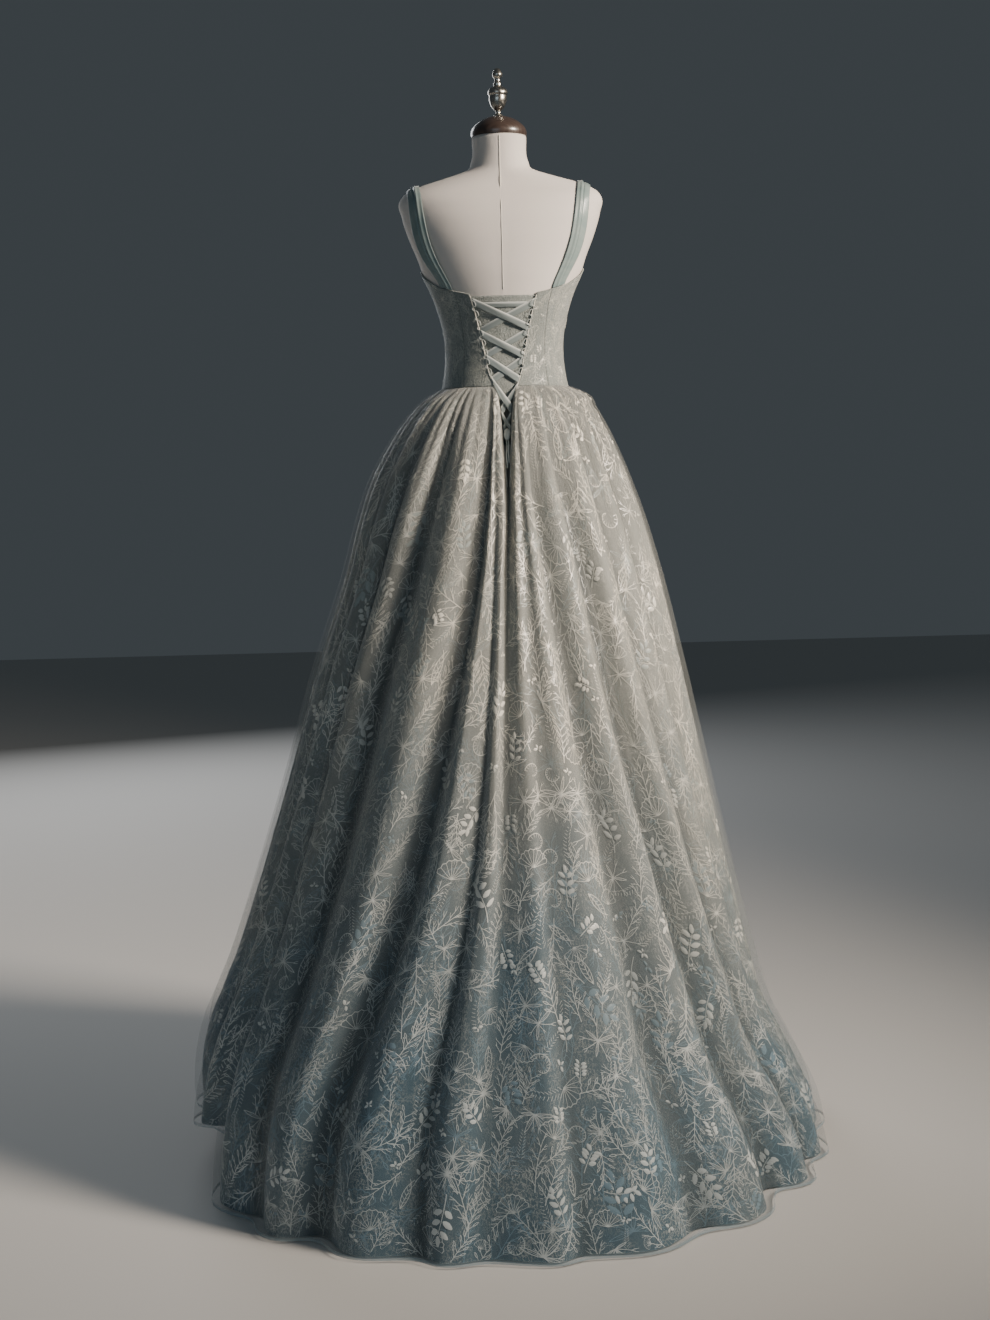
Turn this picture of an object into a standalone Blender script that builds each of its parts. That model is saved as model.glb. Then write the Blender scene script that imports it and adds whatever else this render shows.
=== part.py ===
"""A-line gown with satin shoulder straps and a laced back, worn on a limbless dress form.

Metres, +Z up. The origin is the centre of the stand's underside. The laced back faces +Y, and the wearer's
left is +X. An angle round the gown is 0 at the centre back, 90 at the wearer's left, 180 at the front.
"""

import math

import bmesh
import bpy
import numpy as np

# Distance between two pieces that touch or are sewn together.
GAP = 0.0003
WAIST_Z = 1.318

# Wall thickness of each cloth.
BODICE_WALL = 0.0020
MODESTY_WALL = 0.0010
STRAP_WALL = 0.0015
SKIRT_WALL = 0.0015
OVERLAY_WALL = 0.0010
RIBBON_WALL = 0.0008

# Distance outward from the form to the inner face of each layer.
MODESTY_OUT = 0.0008
BACK_PANEL_OUT = 0.0024
SIDE_PANEL_OUT = 0.0013
STRAP_OUT = 0.0020
BAR_OUT = 0.0022
UNDER_OUT = 0.0034
OVER_OUT = 0.0049
LOOP_OUT = 0.0073
TAIL_OUT = 0.0045

STRAP_WIDTH = 0.021
RIBBON_WIDTH = 0.0115
SMALL_RIBBON_WIDTH = 0.0070
LOOP_CORD_RADIUS = 0.0010

BASE_RADIUS = 0.190
BASE_THICKNESS = 0.012
POLE_RADIUS = 0.016
COLLAR_RADIUS = 0.034
COLLAR_Z = 1.045
TORSO_BOTTOM_Z = 1.075
NECK_TOP_Z = 1.742

FORM_COLUMNS = 36
TURNED_STEPS = 32
SMALL_TURNED_STEPS = 18

# Torso and neck: height, half width, depth to the back, depth to the front, squareness of the section.
BODY = np.array([
    [1.075, 0.118, 0.078, 0.070, 2.1],
    [1.090, 0.138, 0.096, 0.086, 2.1],
    [1.150, 0.152, 0.114, 0.094, 2.1],
    [1.220, 0.146, 0.112, 0.092, 2.1],
    [1.280, 0.122, 0.094, 0.084, 2.1],
    [1.318, 0.1065, 0.084, 0.078, 2.1],
    [1.350, 0.1005, 0.079, 0.076, 2.1],
    [1.377, 0.0985, 0.078, 0.077, 2.1],
    [1.410, 0.1005, 0.080, 0.084, 2.1],
    [1.435, 0.1055, 0.084, 0.094, 2.1],
    [1.460, 0.1125, 0.089, 0.105, 2.1],
    [1.486, 0.1225, 0.093, 0.1140, 2.2],
    [1.510, 0.1340, 0.096, 0.1180, 2.2],
    [1.537, 0.1430, 0.097, 0.1150, 2.3],
    [1.575, 0.1580, 0.096, 0.102, 2.4],
    [1.612, 0.1690, 0.088, 0.086, 2.5],
    [1.638, 0.1720, 0.074, 0.066, 2.5],
    [1.650, 0.1620, 0.062, 0.056, 2.4],
    [1.661, 0.1380, 0.055, 0.052, 2.3],
    [1.674, 0.0930, 0.051, 0.050, 2.2],
    [1.686, 0.0570, 0.048, 0.049, 2.0],
    [1.700, 0.0490, 0.0465, 0.0480, 2.0],
    [NECK_TOP_Z, 0.0460, 0.0450, 0.0460, 2.0],
])

# Top edge of the bodice: angle, height. It is the same on both sides.
TOP_EDGE = np.array([
    [0, 1.470],
    [25, 1.472],
    [43, 1.480],
    [55, 1.486],
    [75, 1.503],
    [90, 1.516],
    [110, 1.526],
    [130, 1.524],
    [150, 1.507],
    [165, 1.491],
    [180, 1.484],
])

# Heights of the rows of points in a bodice panel. The upper ones are lower where the panel is lower.
PANEL_ROWS = (1.318, 1.350, 1.377, 1.410, 1.435, 1.460)
PANEL_TOP_ROWS = (1.486, 1.510)
MODESTY_ROWS = (1.4685, 1.460, 1.435, 1.410, 1.377, 1.350, 1.318, 1.280, 1.220)

# Half width of the laced opening: height, half width.
OPENING = np.array([
    [1.134, 0.0004],
    [1.225, 0.0070],
    [1.276, 0.0110],
    [1.306, 0.0150],
    [1.326, 0.0220],
    [1.343, 0.0275],
    [1.380, 0.0340],
    [1.436, 0.0460],
    [1.473, 0.0560],
])

# Sheer layer's ridges: height, half width left, half width right, depth to the back, depth to the front.
SKIRT = np.array([
    [0.000, 0.580, 0.540, 0.596, 0.485],
    [0.083, 0.582, 0.520, 0.574, 0.472],
    [0.135, 0.580, 0.496, 0.558, 0.461],
    [0.238, 0.560, 0.444, 0.525, 0.437],
    [0.340, 0.516, 0.416, 0.490, 0.411],
    [0.443, 0.478, 0.390, 0.455, 0.385],
    [0.648, 0.409, 0.343, 0.386, 0.331],
    [0.853, 0.346, 0.299, 0.318, 0.275],
    [1.007, 0.292, 0.263, 0.266, 0.231],
    [1.110, 0.262, 0.233, 0.230, 0.200],
    [1.160, 0.244, 0.215, 0.208, 0.181],
    [1.212, 0.216, 0.194, 0.182, 0.160],
    [1.263, 0.181, 0.169, 0.150, 0.134],
    [1.280, 0.166, 0.159, 0.136, 0.122],
    [1.306, 0.137, 0.142, 0.109, 0.101],
    [1.318, 0.1145, 0.1145, 0.0942, 0.0860],
])
# Squareness of the skirt's section: height, left, right.
SKIRT_SQUARENESS = np.array([
    [0.0, 2.36, 2.06],
    [0.25, 2.25, 2.02],
    [0.6, 2.15, 2.12],
    [1.318, 2.10, 2.10],
])

# How far the sheer layer stands off the lace skirt: height, distance.
STAND_OFF = np.array([
    [0.00, 0.014],
    [0.50, 0.012],
    [0.85, 0.010],
    [1.20, 0.006],
    [1.28, 0.0052],
    [1.306, 0.0058],
    [1.318, 0.0048],
])

# Hem height: angle, height. The back sweeps the floor and the front is raised.
HEM = np.array([
    [-180, 0.085],
    [-120, 0.065],
    [-98, 0.035],
    [-84, 0.012],
    [-72, 0.004],
    [60, 0.004],
    [66, 0.036],
    [72, 0.100],
    [80, 0.094],
    [98, 0.062],
    [125, 0.065],
    [180, 0.085],
])

# Folds, each a valley between two ridges. Angle of the valley at the waist and at six heights below it,
# then its depth just under the waist and at four of those heights.
FOLD_Z = (WAIST_Z, 1.20, 1.05, 0.85, 0.50, 0.20, 0.0)
FOLD_DEPTH_Z = (1.28, 1.20, 0.85, 0.50, 0.0)
FOLDS = np.array([
    # waist, top, 1.05 m, upper, middle, low, hem; depth: under the waist, top, upper, middle, hem
    [0, 0.5, 1, 2, 3, 4, 4, 0.018, 0.024, 0.014, 0.014, 0.016],
    [1.2, 4, 4.8, 5.8, 9.5, 14, 15, 0.001, 0.003, 0.008, 0.016, 0.022],
    [3.2, 5.6, 8.8, 14, 22.5, 30, 33, 0.002, 0.010, 0.022, 0.034, 0.040],
    [28, 29, 34.5, 40, 45, 48, 50, 0.004, 0.014, 0.028, 0.032, 0.030],
    [46, 48, 54, 57, 60, 62, 68, 0.004, 0.014, 0.030, 0.050, 0.095],
    [61, 62, 66, 69, 71, 76, 86, 0.002, 0.008, 0.018, 0.026, 0.030],
    [75, 77, 79, 82, 84, 90, 98, 0.002, 0.008, 0.020, 0.032, 0.040],
    [90, 92, 94, 95, 97, 103, 110, 0.002, 0.006, 0.018, 0.028, 0.036],
    [106, 107, 109, 110, 111, 114, 121, 0.002, 0.006, 0.018, 0.030, 0.040],
    [124, 124, 124, 125, 125, 127, 132, 0.002, 0.006, 0.016, 0.024, 0.032],
    [143, 142, 142, 142, 141, 142, 144, 0.002, 0.006, 0.020, 0.034, 0.044],
    [160, 159, 158.5, 158, 158, 157, 157, 0.002, 0.006, 0.016, 0.026, 0.034],
    [177, 176, 175.5, 175, 175, 174, 174, 0.002, 0.006, 0.018, 0.030, 0.040],
    [193, 193, 192.5, 192, 192, 191, 191, 0.002, 0.006, 0.016, 0.024, 0.032],
    [209, 209, 209, 209, 208, 207, 206, 0.002, 0.006, 0.020, 0.034, 0.046],
    [225, 225, 225, 225, 223, 221, 219, 0.002, 0.006, 0.016, 0.026, 0.034],
    [240, 240, 240, 240, 238, 235, 232, 0.002, 0.006, 0.018, 0.030, 0.040],
    [255, 255, 255, 254, 252, 247, 244, 0.002, 0.006, 0.016, 0.024, 0.032],
    [270, 270, 270, 269, 266, 260, 256, 0.002, 0.006, 0.018, 0.028, 0.036],
    [286, 287, 286, 284, 278, 271, 268, 0.002, 0.008, 0.018, 0.026, 0.036],
    [302, 302, 301, 298, 290, 282, 279, 0.002, 0.008, 0.016, 0.022, 0.030],
    [320, 319, 317, 313, 303, 295, 292, 0.002, 0.008, 0.014, 0.022, 0.028],
    [337, 337, 333, 328, 317, 309, 306, 0.003, 0.012, 0.028, 0.042, 0.046],
    [351, 351, 348.5, 344, 335, 330, 329, 0.002, 0.009, 0.020, 0.028, 0.032],
    [358.6, 356, 355.4, 354.6, 352.4, 350, 350, 0.001, 0.003, 0.006, 0.010, 0.018],
])
FOLD_SHARPNESS = 1.25

# Panels of a skirt layer, round from the slit's left edge: name, first and last fold, points to a fold.
SKIRT_PANELS = (
    ("back_left", 0, 7, 8),
    ("side_left", 7, 10, 4),
    ("front", 10, 15, 4),
    ("side_right", 15, 18, 4),
    ("back_right", 18, 25, 8),
)

# Depth of the gathers under the waist seam: height, depth. There are two gathers to each fold.
GATHERS = np.array([
    [0.98, 0.0],
    [1.13, 0.0022],
    [1.20, 0.0036],
    [1.27, 0.0044],
    [1.30, 0.0034],
    [1.318, 0.0006],
])
# Gathers narrower than this many degrees are shallower.
FULL_GATHER = 6

# Heights of the skirt's rows of points over a hem at zero.
SKIRT_ROWS = (1.318, 1.306, 1.276, 1.225, 1.134, 1.00, 0.80, 0.58, 0.36, 0.16, 0.0)

# Crossing runs of the ribbon: height at the left edge and at the right edge of the opening, and width.
LACING_OVER = np.array([
    [1.4585, 1.4150, RIBBON_WIDTH],
    [1.4060, 1.3690, RIBBON_WIDTH],
    [1.3650, 1.3292, RIBBON_WIDTH],
    [1.3210, 1.2790, RIBBON_WIDTH],
    [1.2700, 1.2460, SMALL_RIBBON_WIDTH],
])
LACING_UNDER = np.array([
    [1.4110, 1.4560, RIBBON_WIDTH],
    [1.3700, 1.4085, RIBBON_WIDTH],
    [1.3290, 1.3630, RIBBON_WIDTH],
    [1.2760, 1.3062, RIBBON_WIDTH],
    [1.2460, 1.2700, SMALL_RIBBON_WIDTH],
])
BAR_Z = 1.4530
BAR_WIDTH = 0.0090
KNOT_Z = 1.2366
KNOT_HALF = (0.0058, 0.0030, 0.0097)

# How far a ribbon ends from the edge of the opening, and of the slit below it.
RIBBON_END = 0.0005
SLIT_RIBBON_END = 0.0026

# Layers of ribbon lie this much further apart in the slit, where they slope.
SLIT_SPREAD = 2.0

# Loop cord along each edge: first and last height, number of loops, reach over the panel and the opening.
LOOPS = (1.462, 1.334, 8, 0.0030, 0.0034)

# Straps: where the middle of each meets the bodice's back edge, the shoulder and the front edge.
STRAPS = {
    "left": (0.094, 0.1480, 0.086),
    "right": (-0.092, -0.1420, -0.086),
}

# How far the straps' ends stay above the bodice's edge, and the stations kept of those 2.5 degrees apart,
# closer together over the shoulder.
STRAP_END_LIFT = 0.0014
STRAP_STATIONS = (0, 5, 10, 15, 19, *range(22, 51, 2), 53, 57, 62, 67, 72)

# Turned pieces: radius and height down the outer side.
FINIAL = (
    (0.0, 1.8570), (0.0035, 1.8560), (0.0080, 1.8490), (0.0088, 1.8460), (0.0075, 1.8420),
    (0.0052, 1.8390), (0.0052, 1.8345), (0.0068, 1.8315), (0.0068, 1.8270), (0.0130, 1.8235),
    (0.0166, 1.8180), (0.0170, 1.8140), (0.0150, 1.8110), (0.0153, 1.8060), (0.0140, 1.7990),
    (0.0108, 1.7920), (0.0065, 1.7870), (0.0042, 1.7845), (0.0044, 1.7815), (0.0075, 1.7790),
    (0.0090, 1.7765), (0.0, 1.7765),
)
NECK_CAP = (
    (0.0, 1.7762), (0.0120, 1.7760), (0.0250, 1.7720), (0.0380, 1.7640), (0.0462, 1.7545),
    (0.0478, 1.7480), (0.0470, 1.7425), (0.0, 1.7423),
)
COLLAR = (
    (0.0, TORSO_BOTTOM_Z - GAP), (COLLAR_RADIUS, TORSO_BOTTOM_Z - GAP),
    (COLLAR_RADIUS, COLLAR_Z + 0.006), (0.022, COLLAR_Z), (0.0, COLLAR_Z),
)
POLE = (
    (0.0, COLLAR_Z - GAP), (POLE_RADIUS, COLLAR_Z - GAP),
    (POLE_RADIUS, BASE_THICKNESS + GAP), (0.0, BASE_THICKNESS + GAP),
)
BASE = (
    (0.0, BASE_THICKNESS), (0.182, BASE_THICKNESS), (BASE_RADIUS - 0.002, 0.0095),
    (BASE_RADIUS, 0.006), (BASE_RADIUS, 0.0), (0.0, 0.0),
)


def column(table, height, index):
    """One column of a table at a height, between its rows."""
    return np.interp(height, table[:, 0], table[:, index])


def signed_angle(angle):
    return (angle + 180) % 360 - 180


def section_point(angle, half_width, depth_back, depth_front, squareness):
    """A point on a section that is rounder or squarer than an ellipse. The angle is in degrees."""
    sine = math.sin(math.radians(angle))
    cosine = math.cos(math.radians(angle))
    depth = depth_back if cosine >= 0 else depth_front
    x = half_width * math.copysign(abs(sine) ** (2 / squareness), sine)
    y = depth * math.copysign(abs(cosine) ** (2 / squareness), cosine)
    return x, y


def body_point(angle, z, out):
    """A point this far out from the form, at an angle and a height."""
    half_width, back, front, squareness = (column(BODY, z, k) for k in (1, 2, 3, 4))
    x, y = section_point(angle, half_width + out, back + out, front + out, squareness)
    return np.array([x, y, z])


def body_angle(x, z, out):
    """The angle at which the back half of the section reaches this x."""
    half_width, squareness = column(BODY, z, 1) + out, column(BODY, z, 4)
    return math.degrees(math.asin(math.copysign(min(1, abs(x) / half_width) ** (squareness / 2), x)))


def inside_body(x, y, z):
    """Whether a point is inside the form."""
    half_width, back, front, squareness = (column(BODY, z, k) for k in (1, 2, 3, 4))
    depth = back if y >= 0 else front
    return (abs(x) / half_width) ** squareness + (abs(y) / depth) ** squareness < 1


def panel_out(angle):
    """Inner face of the bodice over the form: the back panels leave room for the modesty panel."""
    return np.interp(abs(angle), [40, 62], [BACK_PANEL_OUT, SIDE_PANEL_OUT])


def top_z(angle):
    """Height of the bodice's top edge at an angle from -180 to 180."""
    return np.interp(abs(angle), TOP_EDGE[:, 0], TOP_EDGE[:, 1])


def panel_z(angle, row):
    """Height of one of a bodice panel's rows, which follow the form's and end on the top edge."""
    top = top_z(angle)
    if row < len(PANEL_ROWS):
        return PANEL_ROWS[row] + (GAP / 2 if row == 0 else 0)
    step = row - len(PANEL_ROWS) + 1
    low = PANEL_ROWS[-1]
    even = low + (top - low) * step / (len(PANEL_TOP_ROWS) + 1)
    if step > len(PANEL_TOP_ROWS):
        return top
    return min(PANEL_TOP_ROWS[step - 1], even)


def make_material(name, colour, roughness, metallic=0.0):
    made = bpy.data.materials.new(name)
    made.use_nodes = True
    shader = made.node_tree.nodes["Principled BSDF"]
    shader.inputs["Base Color"].default_value = (*colour, 1)
    shader.inputs["Roughness"].default_value = roughness
    shader.inputs["Metallic"].default_value = metallic
    made.diffuse_color = (*colour, 1)
    return made


def add_object(name, mesh, material):
    mesh.materials.append(material)
    made = bpy.data.objects.new(name, mesh)
    gown.objects.link(made)
    return made


def closed_mesh(name, points, faces, material):
    """A closed body from points and faces, its faces turned outward."""
    mesh = bpy.data.meshes.new(name)
    mesh.from_pydata([tuple(p) for p in points], [], faces)
    work = bmesh.new()
    work.from_mesh(mesh)
    bmesh.ops.recalc_face_normals(work, faces=work.faces)
    work.to_mesh(mesh)
    work.free()
    return add_object(name, mesh, material)


def wall(name, outer, inner, material):
    """A cloth panel with an edge all round, from a grid of outer points and one of inner points."""
    rows, columns = outer.shape[:2]
    points = np.concatenate([outer.reshape(-1, 3), inner.reshape(-1, 3)])
    half = rows * columns

    def corner(r, c):
        return r * columns + c

    faces = []
    for r in range(rows - 1):
        for c in range(columns - 1):
            a, b, d, e = corner(r, c), corner(r, c + 1), corner(r + 1, c + 1), corner(r + 1, c)
            faces += [(a, b, d, e), (a + half, e + half, d + half, b + half)]
    rim = [corner(0, c) for c in range(columns)]
    rim += [corner(r, columns - 1) for r in range(1, rows)]
    rim += [corner(rows - 1, c) for c in range(columns - 2, -1, -1)]
    rim += [corner(r, 0) for r in range(rows - 2, 0, -1)]
    for a, b in zip(rim, rim[1:] + rim[:1]):
        faces.append((a, a + half, b + half, b))
    return closed_mesh(name, points, faces, material)


def loft(name, rings, material):
    """A closed body through rings of points, with a flat end on the first and the last."""
    count = len(rings[0])
    points = np.concatenate([*rings, [np.mean(rings[0], axis=0)], [np.mean(rings[-1], axis=0)]])
    faces = []
    for r in range(len(rings) - 1):
        for c in range(count):
            d = (c + 1) % count
            faces.append((r * count + c, r * count + d, (r + 1) * count + d, (r + 1) * count + c))
    first, last = len(points) - 2, (len(rings) - 1) * count
    for c in range(count):
        d = (c + 1) % count
        faces += [(first, d, c), (first + 1, last + c, last + d)]
    return closed_mesh(name, points, faces, material)


def turned(name, profile, material, steps=TURNED_STEPS):
    """A turned body: the profile runs down its outer side and is screwed once round the axis."""
    mesh = bpy.data.meshes.new(name)
    edges = [(k, k + 1) for k in range(len(profile) - 1)]
    mesh.from_pydata([(radius, 0, z) for radius, z in profile], edges, [])
    made = add_object(name, mesh, material)
    screw = made.modifiers.new("Screw", "SCREW")
    screw.steps = steps
    screw.render_steps = steps
    screw.use_merge_vertices = True
    screw.merge_threshold = 0.0001
    return made


def cord(name, points, radius, material):
    """A cord with closed ends along a line of points."""
    curve = bpy.data.curves.new(name, "CURVE")
    curve.dimensions = "3D"
    curve.bevel_depth = radius
    curve.bevel_resolution = 0
    curve.use_fill_caps = True
    line = curve.splines.new("POLY")
    line.points.add(len(points) - 1)
    for point, place in zip(line.points, points):
        point.co = (*place, 1)
    return add_object(name, curve, material)


def inward(grid):
    """Inward directions, square to a grid of points whose rows go down and whose columns go round."""
    normal = np.cross(np.gradient(grid, axis=0), np.gradient(grid, axis=1))
    normal /= np.linalg.norm(normal, axis=2, keepdims=True)
    if (normal[..., :2] * grid[..., :2]).sum() > 0:
        normal = -normal
    return normal


# Dress form and stand


def build_form():
    rings = []
    for row in BODY:
        ring = [section_point(360 * c / FORM_COLUMNS, *row[1:]) for c in range(FORM_COLUMNS)]
        rings.append(np.array([(x, y, row[0]) for x, y in ring]))
    loft("form_torso", rings, canvas)
    turned("form_neck_cap", NECK_CAP, dark_wood, SMALL_TURNED_STEPS)
    turned("form_finial", FINIAL, pewter, SMALL_TURNED_STEPS)
    turned("form_collar", COLLAR, steel, SMALL_TURNED_STEPS)
    turned("form_pole", POLE, steel, SMALL_TURNED_STEPS)
    turned("form_base", BASE, steel)


# Bodice


def opening(z):
    return column(OPENING, z, 1)


def bodice_panel(name, first, last, columns):
    """A panel of the bodice between two angles. At an angle of None it ends on the laced opening."""
    rows = len(PANEL_ROWS) + len(PANEL_TOP_ROWS) + 1
    outer = np.zeros((rows, columns, 3))
    inner = np.zeros((rows, columns, 3))
    side = -1 if (first or last) < 0 else 1
    seam = math.degrees(GAP / 2 / 0.1)
    for r in range(rows):
        for c in range(columns):
            at = c / (columns - 1)
            z = WAIST_Z
            for _ in range(8):
                edge = side * body_angle(opening(z), z, BACK_PANEL_OUT)
                a = edge if first is None else first + seam
                b = edge if last is None else last - seam
                angle = a + (b - a) * at
                z = panel_z(signed_angle(angle), r)
            out = panel_out(signed_angle(angle))
            inner[r, c] = body_point(angle, z, out)
            outer[r, c] = body_point(angle, z, out + BODICE_WALL)
    wall(name, outer, inner, bodice_lace)


def build_bodice():
    bodice_panel("bodice_back_left", None, 40, 4)
    bodice_panel("bodice_side_back_left", 40, 90, 6)
    bodice_panel("bodice_side_front_left", 90, 140, 6)
    bodice_panel("bodice_front", 140, 220, 9)
    bodice_panel("bodice_side_front_right", -140, -90, 6)
    bodice_panel("bodice_side_back_right", -90, -40, 6)
    bodice_panel("bodice_back_right", -40, None, 4)
    build_modesty()


def build_modesty(columns=8, tuck=0.011):
    """The panel behind the lacing, tucked a little under both back panels."""
    outer = np.zeros((len(MODESTY_ROWS), columns, 3))
    inner = np.zeros((len(MODESTY_ROWS), columns, 3))
    for r, z in enumerate(MODESTY_ROWS):
        reach = opening(z) + tuck
        for c, x in enumerate(np.linspace(-reach, reach, columns)):
            inner[r, c] = body_point(body_angle(x, z, MODESTY_OUT), z, MODESTY_OUT)
            far = MODESTY_OUT + MODESTY_WALL
            outer[r, c] = body_point(body_angle(x, z, far), z, far)
    wall("modesty_panel", outer, inner, bodice_lace)


# Straps


def draped_line(back_x, shoulder_x, front_x, offset):
    """A taut line over the shoulder, from the bodice's back edge to its front edge."""
    back_z = top_z(body_angle(back_x + offset, 1.48, 0.003)) + STRAP_END_LIFT
    front_z = top_z(180 - abs(body_angle(front_x + offset, 1.51, 0.003))) + STRAP_END_LIFT
    turns = np.radians(np.arange(0, 181, 2.5))
    reach, places = [], []
    for turn in turns:
        end_x = back_x if turn < math.pi / 2 else front_x
        x = end_x + (shoulder_x - end_x) * math.sin(turn) ** 1.3 + offset
        centre_z = back_z + (front_z - back_z) * turn / math.pi
        near, far = 0.0, 0.25
        for _ in range(24):
            middle = (near + far) / 2
            z = centre_z + middle * math.sin(turn)
            if z < NECK_TOP_Z and inside_body(x, middle * math.cos(turn), z):
                near = middle
            else:
                far = middle
        reach.append(near)
        places.append((x, centre_z))
    # The line is pulled straight between any two of its points, so it never dips into a hollow.
    flat = [(r * math.cos(t), r * math.sin(t)) for r, t in zip(reach, turns)]
    taut = list(reach)
    for i, (ax, ay) in enumerate(flat):
        for j in range(i + 2, len(flat)):
            dx, dy = flat[j][0] - ax, flat[j][1] - ay
            for k in range(i + 1, j):
                across = math.cos(turns[k]) * dy - math.sin(turns[k]) * dx
                if across > 1e-9:
                    taut[k] = max(taut[k], (ax * dy - ay * dx) / across)
    line = [(x, r * math.cos(t), z + r * math.sin(t)) for (x, z), r, t in zip(places, taut, turns)]
    return np.array([line[k] for k in STRAP_STATIONS])


def build_strap(side, back_x, shoulder_x, front_x, lines=3):
    stations = len(STRAP_STATIONS)
    grid = np.zeros((stations, lines, 3))
    for c, share in enumerate(np.linspace(-0.5, 0.5, lines)):
        offset = share * STRAP_WIDTH * math.copysign(1, back_x)
        grid[:, c] = draped_line(back_x, shoulder_x, front_x, offset)
    # Outward is square to the strap, and level at both ends where it meets the bodice.
    along = np.gradient(grid, axis=0)
    across = np.gradient(grid, axis=1)
    normal = np.cross(along, across)
    normal[0, :, 2] = 0
    normal[-1, :, 2] = 0
    normal /= np.linalg.norm(normal, axis=2, keepdims=True)
    if normal[stations // 2, lines // 2, 2] < 0:
        normal = -normal
    inner = grid + STRAP_OUT * normal
    outer = grid + (STRAP_OUT + STRAP_WALL) * normal
    wall(f"strap_{side}", outer, inner, satin)


# Skirt


def fold_angle(fold, z):
    """Angle of a fold's valley at a height, counted on from the fold before it past a full turn."""
    turns, index = divmod(fold, len(FOLDS))
    return 360 * turns + np.interp(-z, [-h for h in FOLD_Z], FOLDS[index, :len(FOLD_Z)])


def fold_depth(fold, z):
    depths = FOLDS[fold % len(FOLDS), len(FOLD_Z):]
    return np.interp(-z, [-WAIST_Z, *(-h for h in FOLD_DEPTH_Z)], [0, *depths])


def spread_from_slit(angle, z, half_width, squareness):
    """Angles near the centre back are pushed aside by the slit."""
    turned_by = signed_angle(angle)
    if z <= OPENING[0, 0] or abs(turned_by) > 60:
        return turned_by
    slit = math.degrees(math.asin((opening(z) / half_width) ** (squareness / 2)))
    return math.copysign(slit + abs(turned_by) * (1 - slit / 60), turned_by)


def skirt_point(fold, share, z, side, stand_off, fold_share):
    """A point of a skirt layer. The share runs from one ridge (0) over the valley (0.5) to the next (1)."""
    valley = fold_angle(fold, z)
    if share <= 0.5:
        ridge = (valley + fold_angle(fold - 1, z)) / 2
        angle = ridge + (valley - ridge) * share / 0.5
    else:
        ridge = (valley + fold_angle(fold + 1, z)) / 2
        angle = valley + (ridge - valley) * (share - 0.5) / 0.5
    if fold % len(FOLDS) == 0 and share == 0.5 and z > OPENING[0, 0]:
        # Above the slit's end the two edges of the centre-back seam part from this valley.
        angle = side * 0.001
    left, right, back, front = (column(SKIRT, z, k) - stand_off for k in (1, 2, 3, 4))
    half_width = left if signed_angle(angle) > 0 else right
    squareness = column(SKIRT_SQUARENESS, z, 1 if signed_angle(angle) > 0 else 2)
    angle = spread_from_slit(angle, z, half_width, squareness)
    x, y = section_point(angle, half_width, back, front, squareness)
    depth = back if y > 0 else front
    normal = np.array([
        math.copysign((abs(x) / half_width) ** (squareness - 1) / half_width, x),
        math.copysign((abs(y) / depth) ** (squareness - 1) / depth, y),
    ])
    normal /= np.linalg.norm(normal)
    dip = (0.5 - 0.5 * math.cos(2 * math.pi * share)) ** FOLD_SHARPNESS * fold_depth(fold, z)
    fullness = min(1, abs(valley - ridge) / FULL_GATHER)
    dip += (0.5 - 0.5 * math.cos(4 * math.pi * share)) * column(GATHERS, z, 1) * fullness
    return np.array([x - fold_share * dip * normal[0], y - fold_share * dip * normal[1], z])


def hem_z(angle):
    return np.interp(signed_angle(angle), HEM[:, 0], HEM[:, 1])


def layer_columns(steps_share):
    """Fold and share of every column of points, round from the left edge of the slit to the right edge, and
    the numbers of the columns on the seams."""
    columns, seams = [], [0]
    for _, first, last, most in SKIRT_PANELS:
        steps = most // steps_share
        for k in range(1 if columns else 0, (last - first) * steps + 1):
            whole = k + steps // 2
            columns.append((first + whole // steps, (whole % steps) / steps))
        seams.append(len(columns) - 1)
    return columns, seams


def skirt_layer(name, steps_share, stand_off_share, fold_share, thickness, material):
    """The panels of a skirt layer. They share their points on the seams, a gap apart."""
    columns, seams = layer_columns(steps_share)
    grid = np.zeros((len(SKIRT_ROWS), len(columns), 3))
    for c, (fold, share) in enumerate(columns):
        side = 1 if c == 0 else -1
        hem = hem_z(fold_angle(fold, 0) + (share - 0.5) * 14)
        for r, row in enumerate(SKIRT_ROWS):
            z = hem + (WAIST_Z - hem) * row / WAIST_Z
            stand_off = column(STAND_OFF, z, 1) * stand_off_share
            grid[r, c] = skirt_point(fold, share, z, side, stand_off, fold_share)
    grid[0, :, 2] -= GAP / 2
    inner = grid + thickness * inward(grid)
    for panel, first, last in zip(SKIRT_PANELS, seams, seams[1:]):
        faces = [seamed(side[:, first:last + 1]) for side in (grid, inner)]
        wall(f"{name}_{panel[0]}", *faces, material)


def seamed(grid):
    """The grid with its first and last columns moved in by half a gap, for the seams."""
    moved = grid.copy()
    for edge, neighbour in ((0, 1), (-1, -2)):
        away = grid[:, neighbour] - grid[:, edge]
        away /= np.linalg.norm(away, axis=1, keepdims=True)
        moved[:, edge] += away * GAP * 0.6
    return moved


def build_skirt():
    skirt_layer("skirt", 1, 1.0, 1.0, SKIRT_WALL, skirt_lace)
    skirt_layer("overlay", 2, 0.0, 0.8, OVERLAY_WALL, tulle)


# Lacing


def slit_depth(z):
    """How far back the slit's edges lie."""
    return column(SKIRT, z, 3) - column(STAND_OFF, z, 1) - fold_depth(0, z)


def back_surface(x, z, out):
    """A point this far out from the form at the back, or level with the slit's edges below the waist."""
    if z >= WAIST_Z:
        return body_point(body_angle(x, z, out), z, out)
    level = (out - BACK_PANEL_OUT - BODICE_WALL) * SLIT_SPREAD
    return np.array([x, slit_depth(z) + level, z])


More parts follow.
